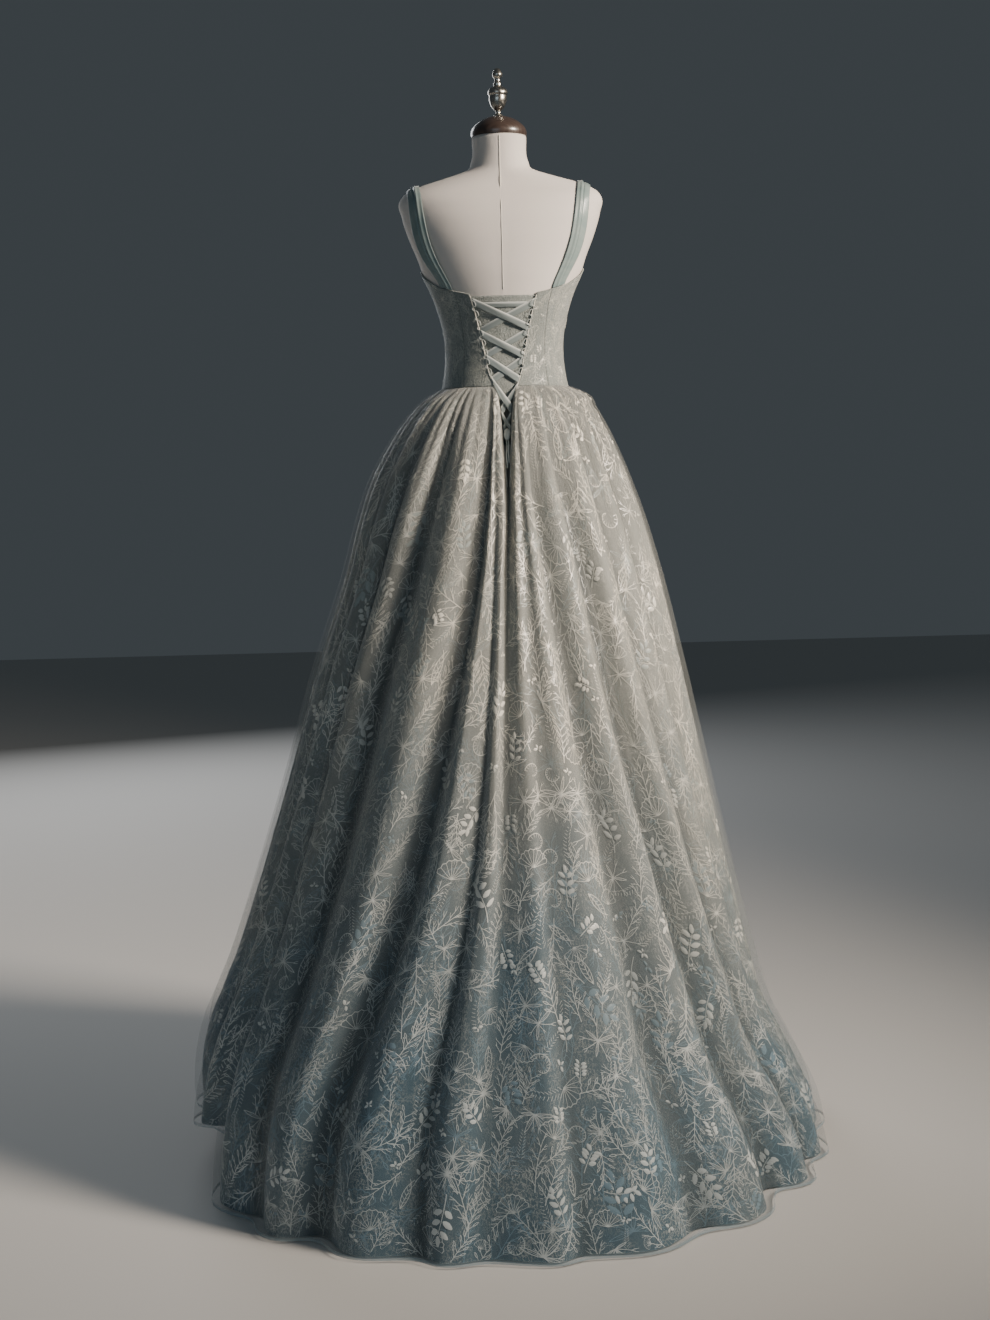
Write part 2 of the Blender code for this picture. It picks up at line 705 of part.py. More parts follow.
def edge_x(z, side):
    """Where a ribbon ends, just short of the opening's edge."""
    return side * (opening(z) - (RIBBON_END if z > WAIST_Z else SLIT_RIBBON_END))


def lacing_run(name, left_z, right_z, width, out, stations=8):
    """A flat run of ribbon across the opening, its ends cut along the opening's edges."""
    slope = math.atan2(left_z - right_z, opening(left_z) + opening(right_z))
    lift = width / 2 / math.cos(slope)
    outer = np.zeros((stations, 2, 3))
    inner = np.zeros((stations, 2, 3))
    for c, raise_by in enumerate((lift, -lift)):
        ends = []
        for side, end_z in ((1, left_z), (-1, right_z)):
            z = end_z + raise_by
            for _ in range(20):
                other = edge_x(z, side) - edge_x(end_z, side)
                z = end_z + raise_by + other * math.tan(slope)
            ends.append((edge_x(z, side), z))
        for r in range(stations):
            share = r / (stations - 1)
            x = ends[0][0] + (ends[1][0] - ends[0][0]) * share
            z = ends[0][1] + (ends[1][1] - ends[0][1]) * share
            inner[r, c] = back_surface(x, z, out)
            outer[r, c] = back_surface(x, z, out + RIBBON_WALL)
    wall(name, outer, inner, satin)


def build_lacing():
    for k, (left_z, right_z, width) in enumerate(LACING_OVER, 1):
        lacing_run(f"lacing_over_{k}", left_z, right_z, width, OVER_OUT)
    for k, (left_z, right_z, width) in enumerate(LACING_UNDER, 1):
        lacing_run(f"lacing_under_{k}", left_z, right_z, width, UNDER_OUT)
    lacing_run("lacing_bar", BAR_Z, BAR_Z, BAR_WIDTH, BAR_OUT)
    build_knot()
    build_tail("left", 0.0015, 0.0014, 1.181)
    build_tail("right", -0.0015, -0.0014, 1.189)
    build_loops("left", 1)
    build_loops("right", -1)


def build_knot():
    """The knot is a small rounded lump of ribbon that leans with the slit."""
    work = bmesh.new()
    bmesh.ops.create_icosphere(work, subdivisions=2, radius=1.0)
    for point in work.verts:
        z = KNOT_Z + KNOT_HALF[2] * point.co.z
        depth = back_surface(0, z, OVER_OUT)[1] + KNOT_HALF[1] * point.co.y
        point.co = (KNOT_HALF[0] * point.co.x, depth, z)
    mesh = bpy.data.meshes.new("lacing_knot")
    work.to_mesh(mesh)
    work.free()
    add_object("lacing_knot", mesh, satin)


def build_tail(side, top_x, bottom_x, bottom_z, width=0.0022, stations=6):
    """A free end of the ribbon, folded narrow, hanging from the knot in the slit."""
    outer = np.zeros((stations, 2, 3))
    inner = np.zeros((stations, 2, 3))
    top = KNOT_Z - KNOT_HALF[2]
    for r, z in enumerate(np.linspace(top, bottom_z, stations)):
        share = r / (stations - 1)
        x = top_x + (bottom_x - top_x) * share
        for c, reach in enumerate((-width / 2, width / 2)):
            inner[r, c] = back_surface(x + reach, z, TAIL_OUT)
            outer[r, c] = back_surface(x + reach, z, TAIL_OUT + RIBBON_WALL)
    wall(f"lacing_tail_{side}", outer, inner, satin)


def build_loops(name, side):
    """One cord lies in loops along the edge: over the panel, out over the opening, and back."""
    first, last, count, over, reach = LOOPS
    pitch = (first - last) / count
    points = []
    for k in range(count):
        z = first - k * pitch
        for step, share in ((over, 0.0), (-reach, 0.18), (-reach, 0.62), (over, 0.80)):
            at = z - share * pitch
            points.append(back_surface(side * (opening(at) + step), at, LOOP_OUT))
    cord(f"loops_{name}", points, LOOP_CORD_RADIUS, loop_cord)


for old in list(bpy.data.objects):
    bpy.data.objects.remove(old, do_unlink=True)
gown = bpy.data.collections.new("a_line_gown_on_dress_form")
bpy.context.scene.collection.children.link(gown)

canvas = make_material("canvas", (0.56, 0.53, 0.50), 0.85)
dark_wood = make_material("dark wood", (0.045, 0.030, 0.025), 0.40)
pewter = make_material("pewter", (0.42, 0.40, 0.35), 0.32, 0.9)
steel = make_material("painted steel", (0.10, 0.10, 0.10), 0.45, 0.3)
satin = make_material("satin ribbon", (0.22, 0.29, 0.29), 0.38)
bodice_lace = make_material("bodice lace", (0.27, 0.30, 0.29), 0.75)
skirt_lace = make_material("skirt lace", (0.33, 0.36, 0.36), 0.72)
tulle = make_material("tulle", (0.26, 0.33, 0.36), 0.80)
loop_cord = make_material("loop cord", (0.50, 0.53, 0.51), 0.60)

build_form()
build_bodice()
for strap_side, places in STRAPS.items():
    build_strap(strap_side, *places)
build_skirt()
build_lacing()
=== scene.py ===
# %% [markdown]
# An a-line gown with satin straps and a laced back, worn on a limbless dress form.
#
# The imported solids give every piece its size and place. This lesson dresses them: cloth with real folds,
# embroidery that lies on those folds, a sheer layer over it, and a form covered in canvas.
# Everything is in metres, +Z is up, and the laced back faces +Y.

# %% Load the frame
import math
import random

import bmesh
import bpy
import numpy as np
from mathutils import Matrix, Vector


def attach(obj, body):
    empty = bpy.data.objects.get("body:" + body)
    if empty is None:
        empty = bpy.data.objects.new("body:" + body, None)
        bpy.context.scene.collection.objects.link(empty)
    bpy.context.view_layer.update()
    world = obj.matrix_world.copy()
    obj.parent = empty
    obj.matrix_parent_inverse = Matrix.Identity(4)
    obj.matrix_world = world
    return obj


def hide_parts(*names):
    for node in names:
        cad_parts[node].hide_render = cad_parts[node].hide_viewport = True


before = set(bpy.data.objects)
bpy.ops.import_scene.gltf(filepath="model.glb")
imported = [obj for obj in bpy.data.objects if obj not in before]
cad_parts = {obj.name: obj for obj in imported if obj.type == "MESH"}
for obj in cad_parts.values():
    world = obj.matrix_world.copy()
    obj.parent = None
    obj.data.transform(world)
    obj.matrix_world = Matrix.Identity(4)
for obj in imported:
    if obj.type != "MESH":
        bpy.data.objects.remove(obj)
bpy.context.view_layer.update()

print("solids:", sorted(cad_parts))

# %% [markdown]
# The camera looks at the back from a little below waist height, tipped down and leaning very slightly.
# A camera can be aimed with a constraint or built from its own three directions. The directions are used
# here, because they also hold the small lean.

# %% Camera
CAMERA_PLACE = (0.0298, 3.2, 1.1786)
CAMERA_PITCH = math.radians(5.917)
CAMERA_LEAN = math.radians(-1.5)

ahead = np.array([0, -math.cos(CAMERA_PITCH), -math.sin(CAMERA_PITCH)])
level = np.array([-1.0, 0, 0])
upward = np.cross(level, ahead)
right = level * math.cos(CAMERA_LEAN) + upward * math.sin(CAMERA_LEAN)
over = upward * math.cos(CAMERA_LEAN) - level * math.sin(CAMERA_LEAN)

lens = bpy.data.cameras.new("camera")
lens.lens = 50
lens.sensor_fit = "VERTICAL"
lens.sensor_height = 36
camera = bpy.data.objects.new("camera", lens)
turn = Matrix((right, over, -ahead)).transposed()
camera.matrix_world = Matrix.Translation(CAMERA_PLACE) @ turn.to_4x4()
bpy.context.scene.collection.objects.link(camera)
bpy.context.scene.camera = camera

# %% [markdown]
# Soft studio light: one warm softbox on the right, one weak cool lamp on the left, a third lamp for the
# front, and an even cool surrounding. The softbox is narrowed with a grid, so its light falls on the bodice
# and the upper skirt and fades towards the hem.

# %% Lamps and surrounding
LAMPS = (
    # name, place, height aimed at, size, spread in degrees, power, colour
    ("key", (-2.85, 1.45, 2.6), 1.22, 0.8, 64, 43, (1.0, 0.870, 0.735)),
    ("fill", (0.8, 3.8, 1.9), 0.90, 2.0, 180, 14, (0.68, 0.86, 1.0)),
    ("front", (1.8, -4.2, 2.4), 0.90, 2.4, 180, 75, (0.95, 0.97, 1.0)),
)
for name, place, aimed_at, size, spread, power, colour in LAMPS:
    light = bpy.data.lights.new(name, "AREA")
    light.size = size
    light.spread = math.radians(spread)
    light.energy = power
    light.color = colour
    lamp = bpy.data.objects.new(name, light)
    lamp.location = place
    away = Vector(place) - Vector((0, 0, aimed_at))
    lamp.rotation_euler = away.to_track_quat("Z", "Y").to_euler()
    bpy.context.scene.collection.objects.link(lamp)

world = bpy.data.worlds.new("studio")
bpy.context.scene.world = world
world.use_nodes = True
world.node_tree.nodes["Background"].inputs["Color"].default_value = (0.60, 0.71, 0.79, 1)
world.node_tree.nodes["Background"].inputs["Strength"].default_value = 0.08

# %% [markdown]
# Materials are graphs of nodes. To keep them readable, a number or colour in a graph is wrapped in a small
# class whose plus, minus and times add the Math nodes, so shading reads like arithmetic.


# %% A value inside a material
class Value:
    """One output socket. Arithmetic on it adds Math nodes to its finish."""

    def __init__(self, finish, socket):
        self.finish = finish
        self.socket = socket

    def maths(self, operation, first, second):
        return self.finish.node("ShaderNodeMath", {"operation": operation}, {0: first, 1: second})

    def __add__(self, other):
        return self.maths("ADD", self, other)

    def __sub__(self, other):
        return self.maths("SUBTRACT", self, other)

    def __rsub__(self, other):
        return self.maths("SUBTRACT", other, self)

    def __mul__(self, other):
        return self.maths("MULTIPLY", self, other)

    def most(self, other):
        return self.maths("MAXIMUM", self, other)

    __radd__ = __add__
    __rmul__ = __mul__


# %% A finish
class Finish:
    """A material: constants are set on its shader, and what varies is linked to it."""

    def __init__(self, name, **constants):
        self.material = bpy.data.materials.new(name)
        self.material.use_nodes = True
        self.tree = self.material.node_tree
        self.shader = self.tree.nodes["Principled BSDF"]
        for socket, value in constants.items():
            self.set(socket.replace("_", " "), value)

    def set(self, socket, value):
        """Sets one of the shader's sockets, by its name in small letters."""
        names = {s.name.lower(): s for s in self.shader.inputs}
        self.fill(names[socket.lower()], value)

    def fill(self, socket, value):
        if isinstance(value, Value):
            self.tree.links.new(value.socket, socket)
        elif isinstance(value, tuple) and len(value) == 3 and socket.type == "RGBA":
            socket.default_value = (*value, 1)
        else:
            socket.default_value = value

    def node(self, kind, settings=None, sockets=None, output=0):
        """Any node: its type, its settings and the values or links of its sockets."""
        made = self.tree.nodes.new(kind)
        for key, value in (settings or {}).items():
            if key == "stops":
                ramp = made.color_ramp.elements
                while len(ramp) < len(value):
                    ramp.new(0.5)
                for stop, (place, grey) in zip(ramp, value):
                    stop.position = place
                    stop.color = (grey, grey, grey, 1)
            else:
                setattr(made, key, value)
        for key, value in (sockets or {}).items():
            self.fill(made.inputs[key], value)
        return Value(self, made.outputs[output])

    def place(self):
        """Where a point is on the object, in metres."""
        return self.node("ShaderNodeTexCoord", output="Object")

    def on_cloth(self):
        """Where a point is on the flat cloth, in metres."""
        return self.node("ShaderNodeUVMap", {"uv_map": "cloth"})

    def shaded(self, colour, share, shadow):
        """A colour that darkens in the hollows of the cloth, where little light gets in."""
        hollow = self.node("ShaderNodeAttribute", {"attribute_name": "hollow"}, output="Fac")
        return self.mix(hollow * share, colour, shadow)

    def scaled(self, vector, by):
        return self.node("ShaderNodeVectorMath", {"operation": "MULTIPLY"}, {0: vector, 1: by})

    def parts(self, vector):
        split = self.node("ShaderNodeSeparateXYZ", sockets={0: vector})
        outputs = split.socket.node.outputs
        return [Value(self, outputs[k]) for k in range(3)]

    def noise(self, vector, scale, detail=2.0, roughness=0.5):
        sockets = {"Vector": vector, "Scale": scale, "Detail": detail, "Roughness": roughness}
        return self.node("ShaderNodeTexNoise", sockets=sockets)

    def threads(self, vector, scale, direction="X"):
        """Even parallel threads, for weaves and ribs."""
        settings = {"wave_type": "BANDS", "bands_direction": direction, "wave_profile": "SIN"}
        return self.node("ShaderNodeTexWave", settings, {"Vector": vector, "Scale": scale}, "Fac")

    def ramp(self, value, *stops):
        return self.node("ShaderNodeValToRGB", {"stops": stops}, {"Fac": value})

    def mix(self, share, first, second):
        return self.node("ShaderNodeMix", {"data_type": "RGBA"}, {0: share, 6: first, 7: second}, 2)

    def bump(self, height, distance, strength=1.0):
        sockets = {"Height": height, "Distance": distance, "Strength": strength}
        self.set("Normal", self.node("ShaderNodeBump", sockets=sockets))


# %% Floor
FLOOR_REACH = 9

paper = Finish("floor paper", base_color=(0.62, 0.61, 0.59), roughness=0.9)
work = bmesh.new()
bmesh.ops.create_grid(work, x_segments=1, y_segments=1, size=FLOOR_REACH)
mesh = bpy.data.meshes.new("floor")
work.to_mesh(mesh)
work.free()
mesh.materials.append(paper.material)
floor = bpy.data.objects.new("floor", mesh)
bpy.context.scene.collection.objects.link(floor)

# %% [markdown]
# The finishes. Each starts from the colour and gloss of the real cloth, wood or metal, and then adds what
# the eye expects close by: the weave of canvas, the slub of satin, the grain of dark wood.

# %% Canvas, wood and metal
canvas = Finish("canvas", roughness=0.86, sheen_weight=0.15, sheen_roughness=0.5)
at = canvas.on_cloth()
weave = canvas.threads(at, 330, "X") + canvas.threads(at, 330, "Y")
age = canvas.noise(canvas.place(), 5.0, 3.0)
fleck = canvas.noise(at, 900, 1.0)
tone = canvas.mix(age, (0.60, 0.555, 0.515), (0.69, 0.635, 0.59))
canvas.set("Base Color", canvas.mix(fleck * 0.25, tone, (0.74, 0.70, 0.65)))
canvas.bump(weave * 0.5 + fleck, 0.00018, 0.7)

dark_wood = Finish("dark wood", coat_weight=0.5, coat_roughness=0.18)
grain = dark_wood.noise(dark_wood.scaled(dark_wood.place(), (60, 420, 60)), 1.0, 4.0)
dark_wood.set("Base Color", dark_wood.mix(grain, (0.020, 0.014, 0.012), (0.075, 0.050, 0.040)))
dark_wood.set("Roughness", dark_wood.ramp(grain, (0.3, 0.28), (0.8, 0.46)))
dark_wood.bump(grain, 0.0003, 0.4)

pewter = Finish("pewter", metallic=1.0)
tarnish = pewter.noise(pewter.place(), 260, 4.0, 0.6)
pewter.set("Base Color", pewter.mix(tarnish, (0.30, 0.285, 0.25), (0.62, 0.60, 0.54)))
pewter.set("Roughness", pewter.ramp(tarnish, (0.35, 0.20), (0.70, 0.42)))
pewter.bump(tarnish, 0.0002, 0.25)

steel = Finish("painted steel", metallic=0.2)
speck = steel.noise(steel.place(), 700, 2.0)
steel.set("Base Color", steel.mix(speck, (0.055, 0.055, 0.058), (0.10, 0.10, 0.10)))
steel.set("Roughness", steel.ramp(speck, (0.3, 0.38), (0.7, 0.55)))
steel.bump(speck, 0.0002, 0.5)

# %% Satin and cords
def satin_finish(name, low, high, upper_edge_highlight=None):
    """Satin with slub along it and a soft change of tone. A ribbon also gets a painted highlight along its
    upper edge.
    """
    made = Finish(name, sheen_weight=0.35, sheen_roughness=0.3, anisotropic=0.5)
    at = made.on_cloth()
    slub = made.noise(made.scaled(at, (90, 2600, 1)), 1.0, 2.0)
    wave = made.noise(made.scaled(at, (16, 60, 1)), 1.0, 2.0)
    tone = made.mix(wave, low, high)
    if upper_edge_highlight:
        # Painted highlight: a paler band along the ribbon's upper edge, where the light catches it.
        highlight_band = made.ramp(made.parts(at)[1], (0.0010, 1.0), (0.0022, 0.0))
        tone = made.mix(highlight_band, tone, upper_edge_highlight)
    made.set("Base Color", tone)
    made.set("Roughness", made.ramp(slub, (0.3, 0.28), (0.7, 0.40)))
    made.bump(slub * 0.6 + wave, 0.00025, 0.5)
    return made


satin = satin_finish("satin", (0.135, 0.205, 0.21), (0.29, 0.335, 0.315))
# The last colour is the painted highlight on the ribbon's upper edge.
ribbon = satin_finish("ribbon", (0.15, 0.185, 0.185), (0.25, 0.275, 0.27), (0.58, 0.60, 0.57))
# Painted light: the knot and tails are the same ribbon, in a paler copy of its colour, because they hang in
# the shade of the slit.
painted_light_knot_satin = satin_finish("knot satin with painted light", (0.42, 0.45, 0.44), (0.62, 0.64, 0.61))

loop_cord = Finish("loop cord", sheen_weight=0.4, sheen_roughness=0.4)
twist = loop_cord.noise(loop_cord.place(), 900, 2.0)
loop_cord.set("Base Color", loop_cord.mix(twist, (0.30, 0.335, 0.33), (0.50, 0.53, 0.51)))
loop_cord.set("Roughness", loop_cord.ramp(twist, (0.2, 0.5), (0.8, 0.75)))
loop_cord.bump(twist, 0.0003, 0.6)

# %% [markdown]
# The colour of the lace is dyed: champagne grey above, dusty blue near the hem, with clouds of blue
# between. Part of its darkening towards the hem is painted shade, for the light that falls off lower down.
# It is painted by height and by soft noise, so it is the same from every side.


# %% Lace and tulle
def dye_and_painted_shade(finish, warm, cool):
    """The gown's colour, warm above and cool below in soft clouds. The darkening towards the hem is partly
    painted shade.
    """
    at = finish.place()
    height = finish.parts(at)[2]
    cloud = finish.noise(finish.scaled(at, (2.6, 2.6, 1.5)), 1.0, 3.0, 0.55)
    patch = finish.noise(finish.scaled(at, (7.0, 7.0, 4.0)), 1.0, 2.0, 0.5)
    share = (0.98 - height * 0.95) + (cloud - 0.5) * 1.3 + (patch - 0.5) * 0.8
    return finish.mix(finish.ramp(share, (0.0, 0.0), (1.0, 1.0)), warm, cool)


def crush(finish, height):
    """Crinkles pressed into the gathers, strongest just under the waist."""
    near = finish.ramp(height, (0.75, 0.0), (0.97, 1.0))
    crinkle = finish.noise(finish.scaled(finish.on_cloth(), (150, 70, 1)), 1.0, 3.0, 0.65)
    return (crinkle - 0.5) * near


skirt_lace = Finish("skirt lace", roughness=0.55, sheen_weight=0.5, sheen_roughness=0.3)
at = skirt_lace.on_cloth()
net = skirt_lace.threads(at, 260, "DIAGONAL") + skirt_lace.threads(at, 300, "X")
scroll = skirt_lace.noise(at, 120, 3.0, 0.6)
line = skirt_lace.ramp(scroll, (0.46, 0.0), (0.50, 1.0), (0.54, 0.0))
patches = skirt_lace.ramp(skirt_lace.noise(at, 16, 2.0), (0.42, 0.0), (0.58, 1.0))
# Its dark cool colour is partly painted shade: the lace is made darker towards the hem, where less light
# falls.
ground = dye_and_painted_shade(skirt_lace, (0.268, 0.278, 0.256), (0.036, 0.092, 0.132))
ground = skirt_lace.mix(line * patches * 0.55, ground, (0.62, 0.62, 0.56))
ground = skirt_lace.mix(net * 0.05, ground, (0.5, 0.52, 0.5))
skirt_lace.set("Base Color", skirt_lace.shaded(ground, 0.85, (0.025, 0.040, 0.048)))
height = skirt_lace.parts(skirt_lace.place())[2] * 0.75
skirt_lace.bump(net * 0.08 + line * 0.2 + crush(skirt_lace, height) * 5.0, 0.0016, 0.9)

bodice_lace = Finish("bodice lace", roughness=0.6, sheen_weight=0.5, sheen_roughness=0.3)
at = bodice_lace.on_cloth()
scroll = bodice_lace.noise(at, 170, 3.0, 0.65)
line = bodice_lace.ramp(scroll, (0.44, 0.0), (0.50, 1.0), (0.56, 0.0))
net = bodice_lace.threads(at, 300, "DIAGONAL")
crinkle = bodice_lace.noise(bodice_lace.scaled(at, (420, 130, 1)), 1.0, 3.0, 0.6)
ground = bodice_lace.mix(bodice_lace.noise(at, 30, 2.0), (0.160, 0.194, 0.190), (0.270, 0.285, 0.262))
bodice_lace.set("Base Color", bodice_lace.mix(line * 0.36, ground, (0.50, 0.50, 0.45)))
bodice_lace.bump(line * 0.5 + net * 0.1 + crinkle * 1.5, 0.0011, 1.0)

tulle = Finish("tulle", roughness=0.5, sheen_weight=0.7, sheen_roughness=0.25)
at = tulle.on_cloth()
mesh_lines = tulle.threads(at, 210, "DIAGONAL")
rim = 1 - tulle.ramp(tulle.parts(at)[1], (0.003, 0.0), (0.006, 1.0))
tulle.set("Base Color", dye_and_painted_shade(tulle, (0.40, 0.40, 0.36), (0.22, 0.30, 0.34)))
tulle.set("Alpha", (0.10 + mesh_lines * 0.07).most(rim * 0.75))
tulle.bump(crush(tulle, tulle.parts(tulle.place())[2] * 0.75), 0.004, 0.8)

thread = Finish("ivory thread", roughness=0.32, sheen_weight=0.3, sheen_roughness=0.3)
stitch = thread.threads(thread.on_cloth(), 420, "DIAGONAL")
cloud = thread.noise(thread.scaled(thread.place(), (9, 9, 6)), 1.0, 2.0)
faded = thread.ramp(cloud, (0.42, 0.0), (0.60, 1.0))
bright = dye_and_painted_shade(thread, (0.92, 0.87, 0.76), (0.68, 0.73, 0.73))
sewn = thread.mix(faded * 0.45, bright, (0.34, 0.37, 0.36))
thread.set("Base Color", thread.shaded(sewn, 0.70, (0.12, 0.15, 0.16)))
thread.bump(stitch, 0.00025, 0.8)

blue_thread = Finish("blue thread", roughness=0.45, sheen_weight=0.3, sheen_roughness=0.3)
stitch = blue_thread.threads(blue_thread.on_cloth(), 420, "DIAGONAL")
sewn = dye_and_painted_shade(blue_thread, (0.35, 0.39, 0.37), (0.16, 0.255, 0.32))
blue_thread.set("Base Color", blue_thread.shaded(sewn, 0.70, (0.04, 0.07, 0.09)))
blue_thread.bump(stitch, 0.00025, 0.8)

tone_thread = Finish("bodice thread", roughness=0.45, sheen_weight=0.3, sheen_roughness=0.3)
stitch = tone_thread.threads(tone_thread.on_cloth(), 420, "DIAGONAL")
shade = tone_thread.noise(tone_thread.place(), 22, 2.0)
tone_thread.set("Base Color", tone_thread.mix(shade, (0.30, 0.33, 0.31), (0.78, 0.75, 0.66)))
tone_thread.bump(stitch, 0.00025, 0.8)

# %% [markdown]
# Every cloth here is one idea: a flat grid whose corners are moved onto a shape. Blender's grid operator
# makes the squares, and one function says where each corner goes. The grid's own UV map keeps the flat
# cloth's metres, so a weave keeps its scale on folds. A grid that wraps round a body is then closed up.


# %% Pieces from grids
def finish_piece(mesh, finish, nodes):
    """Puts a mesh in the scene as a piece of the gown that stands for these solids."""
    mesh.materials.append(finish.material)
    mesh.polygons.foreach_set("use_smooth", [True] * len(mesh.polygons))
    piece = bpy.data.objects.new(mesh.name, mesh)
    bpy.context.scene.collection.objects.link(piece)
    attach(piece, "root")
    if nodes:
        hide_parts(*nodes)
    return piece


def grid_mesh(name, columns, rows, place, width, length):
    """A grid moved by place(u, v), with u and v from 0 to 1 across and down."""
    work = bmesh.new()
    work.loops.layers.uv.new("cloth")
    bmesh.ops.create_grid(work, x_segments=columns, y_segments=rows, size=0.5, calc_uvs=True)
    mesh = bpy.data.meshes.new(name)
    work.to_mesh(mesh)
    work.free()
    corners = np.zeros(len(mesh.vertices) * 3)
    mesh.vertices.foreach_get("co", corners)
    corners = corners.reshape(-1, 3)
    placed = place(corners[:, 0] + 0.5, 0.5 - corners[:, 1])
    mesh.vertices.foreach_set("co", placed.ravel())
    flat = np.zeros(len(mesh.loops) * 2)
    mesh.uv_layers["cloth"].data.foreach_get("uv", flat)
    flat = flat.reshape(-1, 2) * (width, length)
    mesh.uv_layers["cloth"].data.foreach_set("uv", flat.ravel())
    return mesh


def store(mesh, name, values):
    """Keeps one number for each corner point, for a material to read."""
    mesh.attributes.new(name, "FLOAT", "POINT").data.foreach_set("value", values)


def turn_outward(mesh):
    """Turns the faces round if they look at the axis."""
    mesh.update()
    centres = np.array([f.center for f in mesh.polygons])
    normals = np.array([f.normal for f in mesh.polygons])
    if (centres[:, :2] * normals[:, :2]).sum() < 0:
        mesh.flip_normals()


def close_up(mesh, reach):
    """Joins corners of the grid that meet, and closes the holes that are left."""
    work = bmesh.new()
    work.from_mesh(mesh)
    bmesh.ops.remove_doubles(work, verts=work.verts, dist=reach)
    rims = [e for e in work.edges if e.is_boundary]
    if rims:
        bmesh.ops.holes_fill(work, edges=rims, sides=0)
    bmesh.ops.recalc_face_normals(work, faces=work.faces)
    work.to_mesh(mesh)
    work.free()


def thicken(piece, thickness):
    """Gives a sheet its thickness, inward from its outer face."""
    wall = piece.modifiers.new("thickness", "SOLIDIFY")
    wall.thickness = thickness
    wall.offset = -1


# %% [markdown]
# The dress form's section is rounder or squarer than an ellipse, so it is worked out as a superellipse
# whose width, depths and squareness come from a short table of heights. A smooth curve runs through the
# table's rows.

# %% The form's table
BODY = np.array([
    # height, half width, back, front, squareness
    [1.075, 0.118, 0.078, 0.070, 2.1],
    [1.090, 0.138, 0.096, 0.086, 2.1],
    [1.150, 0.152, 0.114, 0.094, 2.1],
    [1.220, 0.146, 0.112, 0.092, 2.1],
    [1.280, 0.122, 0.094, 0.084, 2.1],
    [1.318, 0.1065, 0.084, 0.078, 2.1],
    [1.350, 0.1005, 0.079, 0.076, 2.1],
    [1.377, 0.0985, 0.078, 0.077, 2.1],
    [1.410, 0.1005, 0.080, 0.084, 2.1],
    [1.435, 0.1055, 0.084, 0.094, 2.1],
    [1.460, 0.1125, 0.089, 0.105, 2.1],
    [1.486, 0.1225, 0.093, 0.1140, 2.2],
    [1.510, 0.1340, 0.096, 0.1180, 2.2],
    [1.537, 0.1430, 0.097, 0.1150, 2.3],
    [1.575, 0.1580, 0.096, 0.102, 2.4],
    [1.612, 0.1690, 0.088, 0.086, 2.5],
    [1.638, 0.1720, 0.074, 0.066, 2.5],
    [1.650, 0.1620, 0.062, 0.056, 2.4],
    [1.661, 0.1380, 0.055, 0.052, 2.3],
    [1.674, 0.0930, 0.051, 0.050, 2.2],
    [1.686, 0.0570, 0.048, 0.049, 2.0],
    [1.700, 0.0490, 0.0465, 0.0480, 2.0],
    [1.742, 0.0460, 0.0450, 0.0460, 2.0],
])
WAIST_Z = 1.318
TORSO_BOTTOM_Z = 1.075
NECK_TOP_Z = 1.742


def smooth(knots, values, at):
    """Values read along a smooth curve through a table's rows."""
    slope = np.gradient(values, knots)
    at = np.clip(at, knots[0], knots[-1])
    k = np.clip(np.searchsorted(knots, at) - 1, 0, len(knots) - 2)
    gap = knots[k + 1] - knots[k]
    t = (at - knots[k]) / gap
    start = (2 * t**3 - 3 * t**2 + 1) * values[k] + (t**3 - 2 * t**2 + t) * gap * slope[k]
    end = (3 * t**2 - 2 * t**3) * values[k + 1] + (t**3 - t**2) * gap * slope[k + 1]
    return start + end


def smooth_step(value, low, high):
    """0 below low, 1 above high, and a soft change between."""
    t = np.clip((value - low) / (high - low), 0, 1)
    return t * t * (3 - 2 * t)


def section(angle, half_width, back, front, squareness):
    """Points of a section. The angle is 0 at the centre back and 90 at the wearer's left."""
    sine, cosine = np.sin(np.radians(angle)), np.cos(np.radians(angle))
    depth = np.where(cosine >= 0, back, front)
    x = half_width * np.sign(sine) * np.abs(sine) ** (2 / squareness)
    y = depth * np.sign(cosine) * np.abs(cosine) ** (2 / squareness)
    return x, y


def body_point(angle, z, out):
    """Points this far out from the form."""
    width, back, front, squareness = (smooth(BODY[:, 0], BODY[:, k], z) for k in (1, 2, 3, 4))
    x, y = section(angle, width + out, back + out, front + out, squareness)
    return np.stack([x, y, z + 0 * x], axis=-1)


def body_angle(x, z, out):
    """The angle at which the back half of the section reaches this x."""
    width = smooth(BODY[:, 0], BODY[:, 1], z) + out
    squareness = smooth(BODY[:, 0], BODY[:, 4], z)
    return np.degrees(np.arcsin(np.sign(x) * np.minimum(1, np.abs(x) / width) ** (squareness / 2)))


print("form at the waist:", body_point(np.array([0.0, 90.0]), WAIST_Z, 0.0).round(4).tolist())

# %% [markdown]
# The form's cover is canvas sewn from shaped panels. Its seams run down the centre back and centre front
# and down the middle of each side. A seam is a fine welt, raised by the allowance behind it.

# %% Form cover
SEAM_ANGLES = (0, 90, 180, -90)
SEAM_HEIGHT = 0.0005
SEAM_WIDTH = 0.0013
MEAN_RADIUS = 0.12


def torso_place(u, v):
    angle = 360 * u
    z = NECK_TOP_Z + (TORSO_BOTTOM_Z - NECK_TOP_Z) * v
    points = body_point(angle, z, 0.0)
    near = np.zeros(len(u))
    for seam in SEAM_ANGLES:
        away = np.radians(np.abs((angle - seam + 180) % 360 - 180)) * MEAN_RADIUS
        near += np.exp(-((away / SEAM_WIDTH) ** 2))
    rise = SEAM_HEIGHT * np.clip(near, 0, 1)
    return points * (1 + rise / MEAN_RADIUS)[:, None] ** (1, 1, 0)


